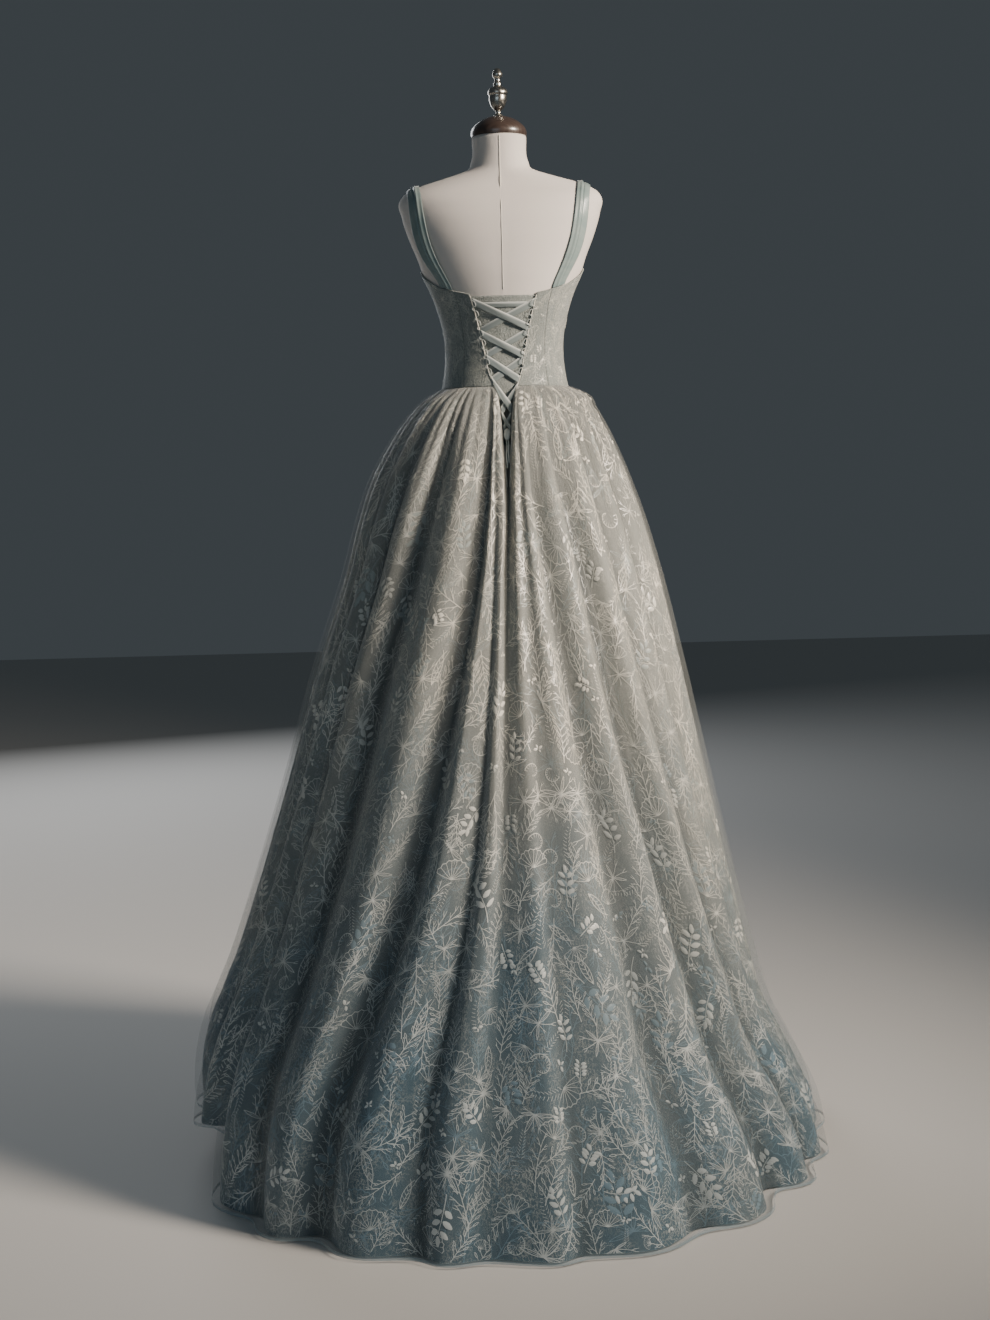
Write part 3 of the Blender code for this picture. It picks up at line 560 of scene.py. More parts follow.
mesh = grid_mesh("form_cover", 240, 120, torso_place, 0.8, 0.667)
close_up(mesh, 0.00005)
finish_piece(mesh, canvas, ["form_torso"])
print("form cover:", len(mesh.polygons), "faces")

# %% [markdown]
# The cap, finial, collar, pole and base are turned. A turned piece is a profile of radius and height, spun
# once round the axis. Rounding the profile first gives the soft swells of cast metal.

# %% Turned pieces
FINIAL = (
    (0.0, 1.8570), (0.0035, 1.8560), (0.0080, 1.8490), (0.0088, 1.8460), (0.0075, 1.8420),
    (0.0052, 1.8390), (0.0052, 1.8345), (0.0068, 1.8315), (0.0068, 1.8270), (0.0130, 1.8235),
    (0.0166, 1.8180), (0.0170, 1.8140), (0.0150, 1.8110), (0.0153, 1.8060), (0.0140, 1.7990),
    (0.0108, 1.7920), (0.0065, 1.7870), (0.0042, 1.7845), (0.0044, 1.7815), (0.0075, 1.7790),
    (0.0090, 1.7765), (0.0, 1.7765),
)
NECK_CAP = (
    (0.0, 1.7762), (0.0120, 1.7760), (0.0250, 1.7720), (0.0380, 1.7640), (0.0462, 1.7545),
    (0.0478, 1.7480), (0.0470, 1.7425), (0.0, 1.7423),
)
COLLAR = ((0.0, 1.0747), (0.034, 1.0747), (0.034, 1.051), (0.022, 1.045), (0.0, 1.045))
POLE = ((0.0, 1.0447), (0.016, 1.0447), (0.016, 0.0123), (0.0, 0.0123))
BASE = ((0.0, 0.012), (0.182, 0.012), (0.188, 0.0095), (0.190, 0.006), (0.190, 0.0), (0.0, 0.0))


def rounded(profile, finer=5):
    """The profile with points added on a smooth curve, apart from its last flat run."""
    body = np.array(profile[:-1])
    reach = np.concatenate([[0], np.cumsum(np.linalg.norm(np.diff(body, axis=0), axis=1))])
    at = np.linspace(0, reach[-1], len(body) * finer)
    radius = np.maximum(0, smooth(reach, body[:, 0], at))
    return [*zip(radius, smooth(reach, body[:, 1], at)), profile[-1]]


def turned(name, profile, finish, node, steps=64):
    work = bmesh.new()
    line = [work.verts.new((radius, 0, z)) for radius, z in profile]
    edges = [work.edges.new(pair) for pair in zip(line, line[1:])]
    bmesh.ops.spin(work, geom=line + edges, cent=(0, 0, 0), axis=(0, 0, 1), angle=math.tau,
                   steps=steps, use_merge=True, use_duplicate=False)
    bmesh.ops.remove_doubles(work, verts=work.verts, dist=0.00002)
    bmesh.ops.recalc_face_normals(work, faces=work.faces)
    for edge in work.edges:
        edge.smooth = edge.calc_face_angle(0) < math.radians(40)
    mesh = bpy.data.meshes.new(name)
    work.to_mesh(mesh)
    work.free()
    return finish_piece(mesh, finish, [node])


turned("finial", rounded(FINIAL), pewter, "form_finial")
turned("neck_cap", rounded(NECK_CAP), dark_wood, "form_neck_cap")
turned("collar", COLLAR, steel, "form_collar")
turned("pole", POLE, steel, "form_pole")
turned("base", BASE, steel, "form_base", 96)

# %% [markdown]
# The bodice is cut in seven shaped panels. Each panel is a grid between two seams, from the waist to its
# shaped top edge, laid just off the form. Its edges dip a little, because cloth is drawn in by a seam.

# %% Bodice tables
TOP_EDGE = np.array([
    # angle, height
    [0, 1.470], [25, 1.472], [43, 1.480], [55, 1.486], [75, 1.503], [90, 1.516],
    [110, 1.526], [130, 1.524], [150, 1.507], [165, 1.491], [180, 1.484],
])
OPENING = np.array([
    # height, half width of the laced opening
    [1.134, 0.0004], [1.225, 0.0070], [1.276, 0.0110], [1.306, 0.0150], [1.326, 0.0220],
    [1.343, 0.0275], [1.380, 0.0340], [1.436, 0.0460], [1.473, 0.0560],
])
BODICE_WALL = 0.0020
BODICE_ROWS = 60
BODICE_LENGTH = 0.17
BACK_PANEL_OUT = 0.0024
SIDE_PANEL_OUT = 0.0013
GAP = 0.0003
HALF_GAP_ANGLE = 0.086
SEAM_DIP = 0.0003
TOP_BEAD = 0.0006
EDGE_REACH = 0.003


def opening(z):
    return np.interp(z, OPENING[:, 0], OPENING[:, 1])


def top_z(angle):
    folded = np.abs((angle + 180) % 360 - 180)
    return smooth(TOP_EDGE[:, 0], TOP_EDGE[:, 1], folded)


def panel_out(angle):
    return np.interp(np.abs((angle + 180) % 360 - 180), [40, 62], [BACK_PANEL_OUT, SIDE_PANEL_OUT])


# %% Bodice panels
def bodice_place(first, last, width):
    """Where the corners of a panel's grid go, between two angles. None is the edge of the laced opening."""
    side = -1 if (first or last) < 0 else 1

    def place(u, v):
        z = np.full(len(u), 1.40)
        for _ in range(8):
            edge = side * body_angle(opening(z), z, BACK_PANEL_OUT)
            start = edge if first is None else first + HALF_GAP_ANGLE
            end = edge if last is None else last - HALF_GAP_ANGLE
            angle = start + (end - start) * u
            top = top_z(angle)
            z = top + (WAIST_Z + GAP / 2 - top) * v
        across = np.minimum(u, 1 - u) * width
        dip = SEAM_DIP * (1 - smooth_step(across, 0, EDGE_REACH))
        bead = TOP_BEAD * (1 - smooth_step(v * BODICE_LENGTH, 0.0005, EDGE_REACH))
        return body_point(angle, z, panel_out(angle) + BODICE_WALL - dip + bead)

    return place


def bodice_panel(name, first, last, columns, width):
    place = bodice_place(first, last, width)
    mesh = grid_mesh(name + "_cloth", columns, BODICE_ROWS, place, width, BODICE_LENGTH)
    turn_outward(mesh)
    piece = finish_piece(mesh, bodice_lace, [name])
    thicken(piece, BODICE_WALL * 0.8)
    return piece


BODICE_PANELS = (
    # node, first angle, last angle, columns, width of the cut
    ("bodice_back_left", None, 40, 24, 0.050),
    ("bodice_side_back_left", 40, 90, 40, 0.100),
    ("bodice_side_front_left", 90, 140, 40, 0.105),
    ("bodice_front", 140, 220, 60, 0.150),
    ("bodice_side_front_right", -140, -90, 40, 0.105),
    ("bodice_side_back_right", -90, -40, 40, 0.100),
    ("bodice_back_right", -40, None, 24, 0.050),
)
bodice = {row[0]: bodice_panel(*row) for row in BODICE_PANELS}
print("bodice panels:", len(bodice))

# %% [markdown]
# The modesty panel lies behind the lacing, tucked under both back panels.


# %% Modesty panel
OPENING_TOP_Z = 1.4685
MODESTY_BOTTOM_Z = 1.220
MODESTY_TUCK = 0.011
MODESTY_OUT = 0.0018
MODESTY_SHELL = 0.0008
MODESTY_COLUMNS = 40
MODESTY_ROWS = 90


def modesty_place(u, v):
    z = OPENING_TOP_Z + (MODESTY_BOTTOM_Z - OPENING_TOP_Z) * v
    reach = opening(z) + MODESTY_TUCK
    x = reach * (2 * u - 1)
    ripple = 0.0003 * np.sin(x * 260) * np.sin(z * 90)
    return body_point(body_angle(x, z, MODESTY_OUT), z, MODESTY_OUT + ripple)


mesh = grid_mesh("modesty_panel_cloth", MODESTY_COLUMNS, MODESTY_ROWS, modesty_place, 0.12, 0.25)
turn_outward(mesh)
modesty = finish_piece(mesh, bodice_lace, ["modesty_panel"])
thicken(modesty, MODESTY_SHELL)

# %% [markdown]
# Each strap is a satin tube pressed flat. It is pulled taut over the shoulder: the line is found by
# walking round the form and then stretching it straight over hollows. A fold and a groove run along it.

# %% Straps
STRAPS = {
    # side: where its middle meets the back edge, the shoulder and the front edge
    "left": (0.094, 0.1480, 0.086),
    "right": (-0.092, -0.1420, -0.086),
}
STRAP_WIDTH = 0.021
STRAP_WALL = 0.0015
STRAP_SHELL = 0.0008
STRAP_OUT = 0.0020
STRAP_END_LIFT = 0.0014
STRAP_LINES = 15
STRAP_CROWN = 0.0011
STRAP_FOLDS = (
    # height, place across the strap, half width
    (0.0015, 0.34, 0.09),
    (-0.0014, 0.50, 0.05),
)
STRAP_TUCK = (-0.0016, 0.62, 0.10)


def inside_body(x, y, z):
    width, back, front, squareness = (smooth(BODY[:, 0], BODY[:, k], z) for k in (1, 2, 3, 4))
    depth = np.where(y >= 0, back, front)
    return (np.abs(x) / width) ** squareness + (np.abs(y) / depth) ** squareness < 1


def draped_line(back_x, shoulder_x, front_x, offset):
    """A taut line over the shoulder, from the bodice's back edge to its front edge."""
    turns = np.radians(np.arange(0, 181, 2.5))
    back_z = float(top_z(body_angle(back_x + offset, 1.48, 0.003))) + STRAP_END_LIFT
    front_z = float(top_z(180 - abs(body_angle(front_x + offset, 1.51, 0.003)))) + STRAP_END_LIFT
    end_x = np.where(turns < math.pi / 2, back_x, front_x)
    x = end_x + (shoulder_x - end_x) * np.sin(turns) ** 1.3 + offset
    centre_z = back_z + (front_z - back_z) * turns / math.pi
    near, far = np.zeros(len(turns)), np.full(len(turns), 0.25)
    for _ in range(24):
        middle = (near + far) / 2
        z = centre_z + middle * np.sin(turns)
        inside = (z < NECK_TOP_Z) & inside_body(x, middle * np.cos(turns), z)
        near = np.where(inside, middle, near)
        far = np.where(inside, far, middle)
    flat = np.stack([near * np.cos(turns), near * np.sin(turns)], axis=1)
    taut = near.copy()
    for i in range(len(flat) - 2):
        for j in range(i + 2, len(flat)):
            dx, dy = flat[j] - flat[i]
            k = np.arange(i + 1, j)
            across = np.cos(turns[k]) * dy - np.sin(turns[k]) * dx
            reach = (flat[i][0] * dy - flat[i][1] * dx) / np.where(across > 1e-9, across, 1)
            taut[k] = np.where(across > 1e-9, np.maximum(taut[k], reach), taut[k])
    return np.stack([x, taut * np.cos(turns), centre_z + taut * np.sin(turns)], axis=1)


def soft_fold(u, height, place, half_width):
    """A soft ridge along the cloth, or a groove where its height is below zero."""
    return height * np.exp(-(((u - place) / half_width) ** 2))


def strap(side, back_x, shoulder_x, front_x):
    shares = np.linspace(-0.5, 0.5, STRAP_LINES)
    sign = math.copysign(1, back_x)
    lines = np.stack([draped_line(back_x, shoulder_x, front_x, s * STRAP_WIDTH * sign) for s in shares], 1)
    normal = np.cross(np.gradient(lines, axis=0), np.gradient(lines, axis=1))
    normal[[0, -1], :, 2] = 0
    normal /= np.linalg.norm(normal, axis=2, keepdims=True)
    if normal[len(lines) // 2, STRAP_LINES // 2, 2] < 0:
        normal = -normal

    def place(u, v):
        row, col = v * (len(lines) - 1), u * (STRAP_LINES - 1)
        base = lookup(lines, row, col)
        facing = lookup(normal, row, col)
        crown = STRAP_CROWN * np.sin(np.pi * u) ** 0.6
        ridge, groove = (soft_fold(u, *fold) for fold in STRAP_FOLDS)
        near_end = 1 - smooth_step(np.minimum(v, 1 - v), 0.0, 0.10)
        tuck = near_end * soft_fold(u, *STRAP_TUCK)
        out = STRAP_OUT + STRAP_WALL * 0.45 + np.clip(crown + ridge + groove + tuck, -0.0004, 0.003)
        return base + facing * out[:, None]

    mesh = grid_mesh(f"strap_{side}_satin", 28, 150, place, STRAP_WIDTH, 0.40)
    turn_outward(mesh)
    piece = finish_piece(mesh, satin, [f"strap_{side}"])
    thicken(piece, STRAP_SHELL)
    return piece


def lookup(table, row, col):
    """Reads a grid of points between its rows and columns."""
    r = np.clip(np.floor(row).astype(int), 0, table.shape[0] - 2)
    c = np.clip(np.floor(col).astype(int), 0, table.shape[1] - 2)
    a, b = (row - r)[:, None], (col - c)[:, None]
    top = table[r, c] * (1 - b) + table[r, c + 1] * b
    low = table[r + 1, c] * (1 - b) + table[r + 1, c + 1] * b
    return top * (1 - a) + low * a


straps = {side: strap(side, *places) for side, places in STRAPS.items()}

# %% [markdown]
# The skirt hangs from the waist in twenty-five deep folds, each a valley between two ridges. A simulation
# would drape it, but not in the folds of this gown, so every fold is steered one by one: a table says at
# which angle its valley lies at seven heights and how deep it is at five.

# %% Skirt tables
SKIRT = np.array([
    # height, half width left, half width right, back, front
    [0.000, 0.580, 0.540, 0.596, 0.485],
    [0.083, 0.582, 0.520, 0.574, 0.472],
    [0.135, 0.580, 0.496, 0.558, 0.461],
    [0.238, 0.560, 0.444, 0.525, 0.437],
    [0.340, 0.516, 0.416, 0.490, 0.411],
    [0.443, 0.478, 0.390, 0.455, 0.385],
    [0.648, 0.409, 0.343, 0.386, 0.331],
    [0.853, 0.346, 0.299, 0.318, 0.275],
    [1.007, 0.292, 0.263, 0.266, 0.231],
    [1.110, 0.262, 0.233, 0.230, 0.200],
    [1.160, 0.244, 0.215, 0.208, 0.181],
    [1.212, 0.216, 0.194, 0.182, 0.160],
    [1.263, 0.181, 0.169, 0.150, 0.134],
    [1.280, 0.166, 0.159, 0.136, 0.122],
    [1.306, 0.137, 0.142, 0.109, 0.101],
    [1.318, 0.1145, 0.1145, 0.0942, 0.0860],
])
SKIRT_SQUARENESS = np.array([[0.0, 2.36, 2.06], [0.25, 2.25, 2.02], [0.6, 2.15, 2.12], [1.318, 2.10, 2.10]])
STAND_OFF = np.array([
    # height, how far the sheer layer stands off the lace
    [0.00, 0.014], [0.50, 0.012], [0.85, 0.010], [1.20, 0.006], [1.28, 0.0052], [1.306, 0.0058],
    [1.318, 0.0048],
])
HEM = np.array([
    # angle, height
    [-180, 0.085], [-120, 0.065], [-98, 0.035], [-84, 0.012], [-72, 0.004], [60, 0.004], [66, 0.036],
    [72, 0.100], [80, 0.094], [98, 0.062], [125, 0.065], [180, 0.085],
])
FOLD_Z = np.array([1.318, 1.20, 1.05, 0.85, 0.50, 0.20, 0.0])
FOLD_DEPTH_Z = np.array([1.318, 1.28, 1.20, 0.85, 0.50, 0.0])
FOLDS = np.array([
    # valley's angle at each height of FOLD_Z; its depth at each height of FOLD_DEPTH_Z under the waist
    [0, 0.5, 1, 2, 3, 4, 4, 0.018, 0.024, 0.014, 0.014, 0.016],
    [1.2, 4, 4.8, 5.8, 9.5, 14, 15, 0.001, 0.003, 0.008, 0.016, 0.022],
    [3.2, 5.6, 8.8, 14, 22.5, 30, 33, 0.002, 0.010, 0.022, 0.034, 0.040],
    [28, 29, 34.5, 40, 45, 48, 50, 0.004, 0.014, 0.028, 0.032, 0.030],
    [46, 48, 54, 57, 60, 62, 68, 0.004, 0.014, 0.030, 0.050, 0.095],
    [61, 62, 66, 69, 71, 76, 86, 0.002, 0.008, 0.018, 0.026, 0.030],
    [75, 77, 79, 82, 84, 90, 98, 0.002, 0.008, 0.020, 0.032, 0.040],
    [90, 92, 94, 95, 97, 103, 110, 0.002, 0.006, 0.018, 0.028, 0.036],
    [106, 107, 109, 110, 111, 114, 121, 0.002, 0.006, 0.018, 0.030, 0.040],
    [124, 124, 124, 125, 125, 127, 132, 0.002, 0.006, 0.016, 0.024, 0.032],
    [143, 142, 142, 142, 141, 142, 144, 0.002, 0.006, 0.020, 0.034, 0.044],
    [160, 159, 158.5, 158, 158, 157, 157, 0.002, 0.006, 0.016, 0.026, 0.034],
    [177, 176, 175.5, 175, 175, 174, 174, 0.002, 0.006, 0.018, 0.030, 0.040],
    [193, 193, 192.5, 192, 192, 191, 191, 0.002, 0.006, 0.016, 0.024, 0.032],
    [209, 209, 209, 209, 208, 207, 206, 0.002, 0.006, 0.020, 0.034, 0.046],
    [225, 225, 225, 225, 223, 221, 219, 0.002, 0.006, 0.016, 0.026, 0.034],
    [240, 240, 240, 240, 238, 235, 232, 0.002, 0.006, 0.018, 0.030, 0.040],
    [255, 255, 255, 254, 252, 247, 244, 0.002, 0.006, 0.016, 0.024, 0.032],
    [270, 270, 270, 269, 266, 260, 256, 0.002, 0.006, 0.018, 0.028, 0.036],
    [286, 287, 286, 284, 278, 271, 268, 0.002, 0.008, 0.018, 0.026, 0.036],
    [302, 302, 301, 298, 290, 282, 279, 0.002, 0.008, 0.016, 0.022, 0.030],
    [320, 319, 317, 313, 303, 295, 292, 0.002, 0.008, 0.014, 0.022, 0.028],
    [337, 337, 333, 328, 317, 309, 306, 0.003, 0.012, 0.028, 0.042, 0.046],
    [351, 351, 348.5, 344, 335, 330, 329, 0.002, 0.009, 0.020, 0.028, 0.032],
    [358.6, 356, 355.4, 354.6, 352.4, 350, 350, 0.001, 0.003, 0.006, 0.010, 0.018],
])
FOLD_COUNT = len(FOLDS)
GATHERS = np.array([
    # height, depth of the gathers
    [0.95, 0.0], [1.05, 0.0007], [1.15, 0.0024], [1.22, 0.0044], [1.27, 0.0050], [1.30, 0.0042],
    [1.318, 0.0008],
])
GATHER_COUNT = 56
FOLD_ANGLE = 14
SLIT_REACH = 60
VALLEY_SHARPNESS = 1.25
HOLLOWS = (
    # columns looked at on each side, depth that counts as full, weight
    (14, 0.010, 0.65),
    (3, 0.0008, 0.35),
)


# %% The skirt's shape
def fold_row(fold):
    return FOLDS[int(fold) % FOLD_COUNT]


def valley_angle(fold, z):
    """Angle of a fold's valley, counted on past a full turn."""
    row = fold_row(fold)
    angle = smooth(-FOLD_Z, row[:len(FOLD_Z)], -z) + 360 * (fold // FOLD_COUNT)
    if fold % FOLD_COUNT == 0:
        lean = 1 - smooth_step(z, 1.0, 1.134)
        angle = 360 * (fold // FOLD_COUNT) + (angle - 360 * (fold // FOLD_COUNT)) * lean
    return angle


def valley_depth(fold, z):
    return smooth(-FOLD_DEPTH_Z, np.array([0, *fold_row(fold)[len(FOLD_Z):]]), -z)


def hem_height(position):
    """Height of the hem at places counted in folds. Its knots are a quarter of a fold apart."""
    knots = np.arange(0, FOLD_COUNT + 0.01, 0.25)
    heights = []
    for knot in knots:
        near = []
        for fold in {math.floor(knot + 0.5 - 1e-6), math.floor(knot + 0.5 + 1e-6)}:
            angle = fold_row(fold)[len(FOLD_Z) - 1] + (knot - fold) * FOLD_ANGLE
            near.append(np.interp((angle + 180) % 360 - 180, HEM[:, 0], HEM[:, 1]))
        heights.append(sum(near) / len(near))
    return np.interp(position, knots, heights)


def skirt_surface(position, row, stand_off_share, fold_share, detail=1.0):
    """Points of a skirt layer. Position counts folds from the left edge of the slit round to the right
    edge, and row runs from 0 at the waist to 1 at the hem."""
    points = np.zeros((len(position), 3))
    for place in np.unique(position):
        chosen = position == place
        hem = float(hem_height(place))
        z = WAIST_Z + (hem - WAIST_Z) * row[chosen]
        points[chosen] = skirt_line(place, z, stand_off_share, fold_share, detail)
    return points


def skirt_line(place, z, stand_off_share, fold_share, detail):
    """The points at these heights on one line that runs down the skirt."""
    first = math.floor(place)
    share = place - first
    angle = valley_angle(first, z) * (1 - share) + valley_angle(first + 1, z) * share
    angle = (angle + 180) % 360 - 180
    if place in (0, FOLD_COUNT):
        angle = np.where(z > OPENING[0, 0], 0.001 if place == 0 else -0.001, angle)
    stand_off = np.interp(z, STAND_OFF[:, 0], STAND_OFF[:, 1]) * stand_off_share
    left, right_side, back, front = (smooth(SKIRT[:, 0], SKIRT[:, k], z) - stand_off for k in (1, 2, 3, 4))
    width = np.where(angle > 0, left, right_side)
    squares = [np.interp(z, SKIRT_SQUARENESS[:, 0], SKIRT_SQUARENESS[:, k]) for k in (1, 2)]
    squareness = np.where(angle > 0, *squares)
    slit = np.degrees(np.arcsin((opening(z) / width) ** (squareness / 2)))
    spread = np.sign(angle) * (slit + np.abs(angle) * (1 - slit / SLIT_REACH))
    angle = np.where((z > OPENING[0, 0]) & (np.abs(angle) < SLIT_REACH), spread, angle)
    x, y = section(angle, width, back, front, squareness)
    depth = np.where(y > 0, back, front)
    normal = np.stack([
        np.sign(x) * (np.abs(x) / width) ** (squareness - 1) / width,
        np.sign(y) * (np.abs(y) / depth) ** (squareness - 1) / depth,
    ], axis=1)
    normal /= np.linalg.norm(normal, axis=1, keepdims=True)
    fold = math.floor(place + 0.5)
    within = place + 0.5 - fold
    dip = (0.5 - 0.5 * math.cos(math.tau * within)) ** VALLEY_SHARPNESS * valley_depth(fold, z)
    waist_turn = [float(valley_angle(f, np.array(WAIST_Z))) for f in (first, first + 1)]
    gathered = waist_turn[0] * (1 - share) + waist_turn[1] * share
    dip = fold_share * dip + detail * creases(place, z, gathered)
    return np.stack([x - dip * normal[:, 0], y - dip * normal[:, 1], z], axis=1)


def creases(place, z, gathered):
    """Small uneven folds on top of the deep ones. The gathers fan out from even places on the waist seam."""
    turn = gathered / 360 * math.tau * GATHER_COUNT
    phase = turn + 1.6 * math.sin(gathered * 0.061) + 1.1 * math.sin(gathered * 0.173 + 1)
    size = 0.70 + 0.30 * math.sin(gathered * 0.39) * math.cos(gathered * 0.11)
    fine = np.interp(z, GATHERS[:, 0], GATHERS[:, 1]) * size * (0.5 + 0.5 * math.cos(phase)) ** 1.6
    low = np.interp(z, [0.0, 0.3, 0.9, 1.2, WAIST_Z], [0.0030, 0.0022, 0.0014, 0.0004, 0.0])
    soft = low * (np.sin(place * 9.7 + z * 1.1) + 0.7 * np.sin(place * 15.1 - z * 1.7 + 1.2))
    edge = min(1.0, 2 * min(place, FOLD_COUNT - place))
    return edge * (fine + 0.5 * soft)


def outward(points):
    """Outward directions, square to a grid of points."""
    normal = np.cross(np.gradient(points, axis=0), np.gradient(points, axis=1))
    normal /= np.linalg.norm(normal, axis=2, keepdims=True)
    return normal if (normal[..., :2] * points[..., :2]).sum() > 0 else -normal


def hollows(points):
    """How far in each point of a grid lies, from 0 on a ridge to 1 in a deep fold or a sharp crease."""
    normal, at = outward(points), np.arange(points.shape[1])
    share = np.zeros(points.shape[:2])
    for reach, full, weight in HOLLOWS:
        steps = range(-reach, reach + 1)
        around = np.mean([points[:, np.clip(at + step, 0, at[-1])] for step in steps], axis=0)
        sunk = ((around - points) * normal).sum(axis=2)
        share += weight * np.clip(sunk / full, 0, 1)
    return share


print("hem at the centre back:", skirt_line(0.5, np.array([0.004]), 1, 1, 0).round(3).tolist())

# %% [markdown]
# Each layer is cut in a front, two sides and two backs, sewn together and down the centre back. The grid's
# rows are closer together near the waist, where the gathers are.

# %% Skirt panels
PANELS = {
    # panel: first and last fold, columns for each fold
    "back_left": (0, 7, 32),
    "side_left": (7, 10, 18),
    "front": (10, 15, 18),
    "side_right": (15, 18, 18),
    "back_right": (18, 25, 32),
}
LAYERS = {
    # layer: squares to a column, rows, share of the stand-off, of the deep folds and of the small creases
    "lace": (1, 150, 1.0, 1.0, 1.0),
    "tulle": (2, 90, 0.0, 0.8, 0.45),
}
ROW_CROWDING = 1.25
FOLD_CLOTH = 0.22
SKIRT_CLOTH = 1.4


def panel_grid(panel, layer):
    """Where the corners of a panel's grid go, and its columns and rows."""
    first, last, steps = PANELS[panel]
    coarseness, rows, stand_off_share, fold_share, detail = LAYERS[layer]
    columns = (last - first) * steps // coarseness

    def place(u, v):
        position = np.round(u * columns) / columns * (last - first) + first
        row = (np.round(v * rows) / rows) ** ROW_CROWDING
        return skirt_surface(position, row, stand_off_share, fold_share, detail)

    return place, columns, rows


def panel_mesh(name, panel, layer):
    place, columns, rows = panel_grid(panel, layer)
    folds = PANELS[panel][1] - PANELS[panel][0]
    return grid_mesh(name, columns, rows, place, folds * FOLD_CLOTH, SKIRT_CLOTH)


def skirt_panel(panel):
    mesh = panel_mesh(f"skirt_{panel}_cloth", panel, "lace")
    place, columns, rows = panel_grid(panel, "lace")
    u, v = np.meshgrid(np.linspace(0, 1, columns + 1), np.linspace(1, 0, rows + 1))
    points = place(u.ravel(), v.ravel()).reshape(*u.shape, 3)
    store(mesh, "hollow", hollows(points).ravel())
    turn_outward(mesh)
    return finish_piece(mesh, skirt_lace, [f"skirt_{panel}"])


def overlay_panel(panel):
    mesh = panel_mesh(f"overlay_{panel}_tulle", panel, "tulle")
    turn_outward(mesh)
    return finish_piece(mesh, tulle, [f"overlay_{panel}"])


skirt = {panel: skirt_panel(panel) for panel in PANELS}
overlay = {panel: overlay_panel(panel) for panel in PANELS}
for panel, piece in skirt.items():
    print("skirt", panel, len(piece.data.polygons), "squares")

# %% [markdown]
# The lace is embroidered all over with leaf sprigs, fans, branching twigs and small blossoms. They could be
# painted in a texture, but thread stands on the cloth and catches the light, so each motif is real
# stitching: narrow strips and pointed leaves, sewn flat once and then laid on the folds many times.

# %% Stitches
STITCH_WIDTH = 0.00125
LEAF_POINTS = 10
LEAF_RISE = 0.0009
seeded = random.Random(41)


def bent(start, angle, length, bend, steps):
    """A path of points that sets out at an angle and bends evenly."""
    turns = angle + bend * (np.arange(steps) + 0.5) / steps
    moves = np.stack([np.cos(turns), np.sin(turns)], axis=1) * length / steps
    return np.concatenate([[start], start + np.cumsum(moves, axis=0)])


def stroke(work, path, width=STITCH_WIDTH, end_width=0.55):
    """A stitched line: a strip along a path, a little narrower at its end."""
    steps = len(path) - 1
    made = bmesh.ops.create_grid(work, x_segments=steps, y_segments=1, size=0.5)["verts"]
    along = np.gradient(path, axis=0)
    along /= np.linalg.norm(along, axis=1, keepdims=True)
    for point in made:
        k = round((point.co.x + 0.5) * steps)
        reach = math.copysign(width / 2 * (1 - (1 - end_width) * k / steps), point.co.y)
        x, y = path[k] + reach * np.array([-along[k][1], along[k][0]])
        point.co = (x, y, 0.0)
    return path[-1]


def leaf(work, start, angle, length, width):
    """A filled leaf in satin stitch, pointed at both ends and raised along its middle."""
    made = bmesh.ops.create_circle(work, segments=LEAF_POINTS, radius=0.5, cap_ends=True, cap_tris=True)
    cosine, sine = math.cos(angle), math.sin(angle)
    for point in made["verts"]:
        along, across = point.co.x + 0.5, point.co.y * 2
        middle = abs(along - 0.5) < 0.01 and abs(across) < 0.01
        across *= 0.72 + 0.28 * math.sin(math.pi * min(1.0, along * 1.15))
        x, y = along * length, across * width / 2
        place = start[0] + x * cosine - y * sine, start[1] + x * sine + y * cosine
        point.co = (*place, LEAF_RISE if middle else 0.0)


def outlined_leaf(work, start, angle, length, width):
    """An open leaf: two bowed lines that meet at its tip, and a vein."""
    bow = math.atan2(width, length) * 1.1
    for side in (-1, 1):
        rim = bent(start, angle + side * bow, length * 1.08, -side * bow * 2, 4)
        stroke(work, rim, STITCH_WIDTH * 0.8, 0.9)
    stroke(work, bent(start, angle, length * 0.7, 0.0, 2), STITCH_WIDTH * 0.6)


# %% Motifs
def burst(work, size):
    """Rays from one point, each ending in a fork or a narrow open leaf."""
    rays = seeded.randint(8, 11)
    spread = seeded.choice((math.tau, math.tau * 0.6))
    for k in range(rays):
        angle = spread * (k + 0.3 * seeded.random()) / rays
        length = size * seeded.uniform(0.5, 1.0)
        if k % 3 == 0:
            outlined_leaf(work, (0, 0), angle, length, length * 0.28)
            continue
        path = bent((0, 0), angle, length * 0.7, seeded.uniform(-0.4, 0.4), 3)
        stroke(work, path)
        for fork in (-0.5, 0.45):
            stroke(work, bent(path[-1], angle + fork, length * 0.32, -fork, 2), STITCH_WIDTH * 0.8)


def twig(work, size):
    """A bent stem with forked side shoots."""
    stem = bent((0, -size), math.pi / 2, size * 1.9, seeded.uniform(-0.7, 0.7), 8)
    stroke(work, stem, STITCH_WIDTH * 1.15)
    for k in range(1, 9):
        side = 1 if k % 2 else -1
        angle = math.pi / 2 - side * seeded.uniform(0.6, 0.95)
        length = size * (0.85 - 0.06 * k)
        shoot = bent(stem[k], angle, length * 0.6, side * 0.5, 3)
        stroke(work, shoot)
        for share, fork in ((1, -0.7), (2, 0.6), (3, -0.45), (3, 0.35)):
            stroke(work, bent(shoot[share], angle + fork, length * 0.3, -fork * 0.8, 2), STITCH_WIDTH * 0.8)


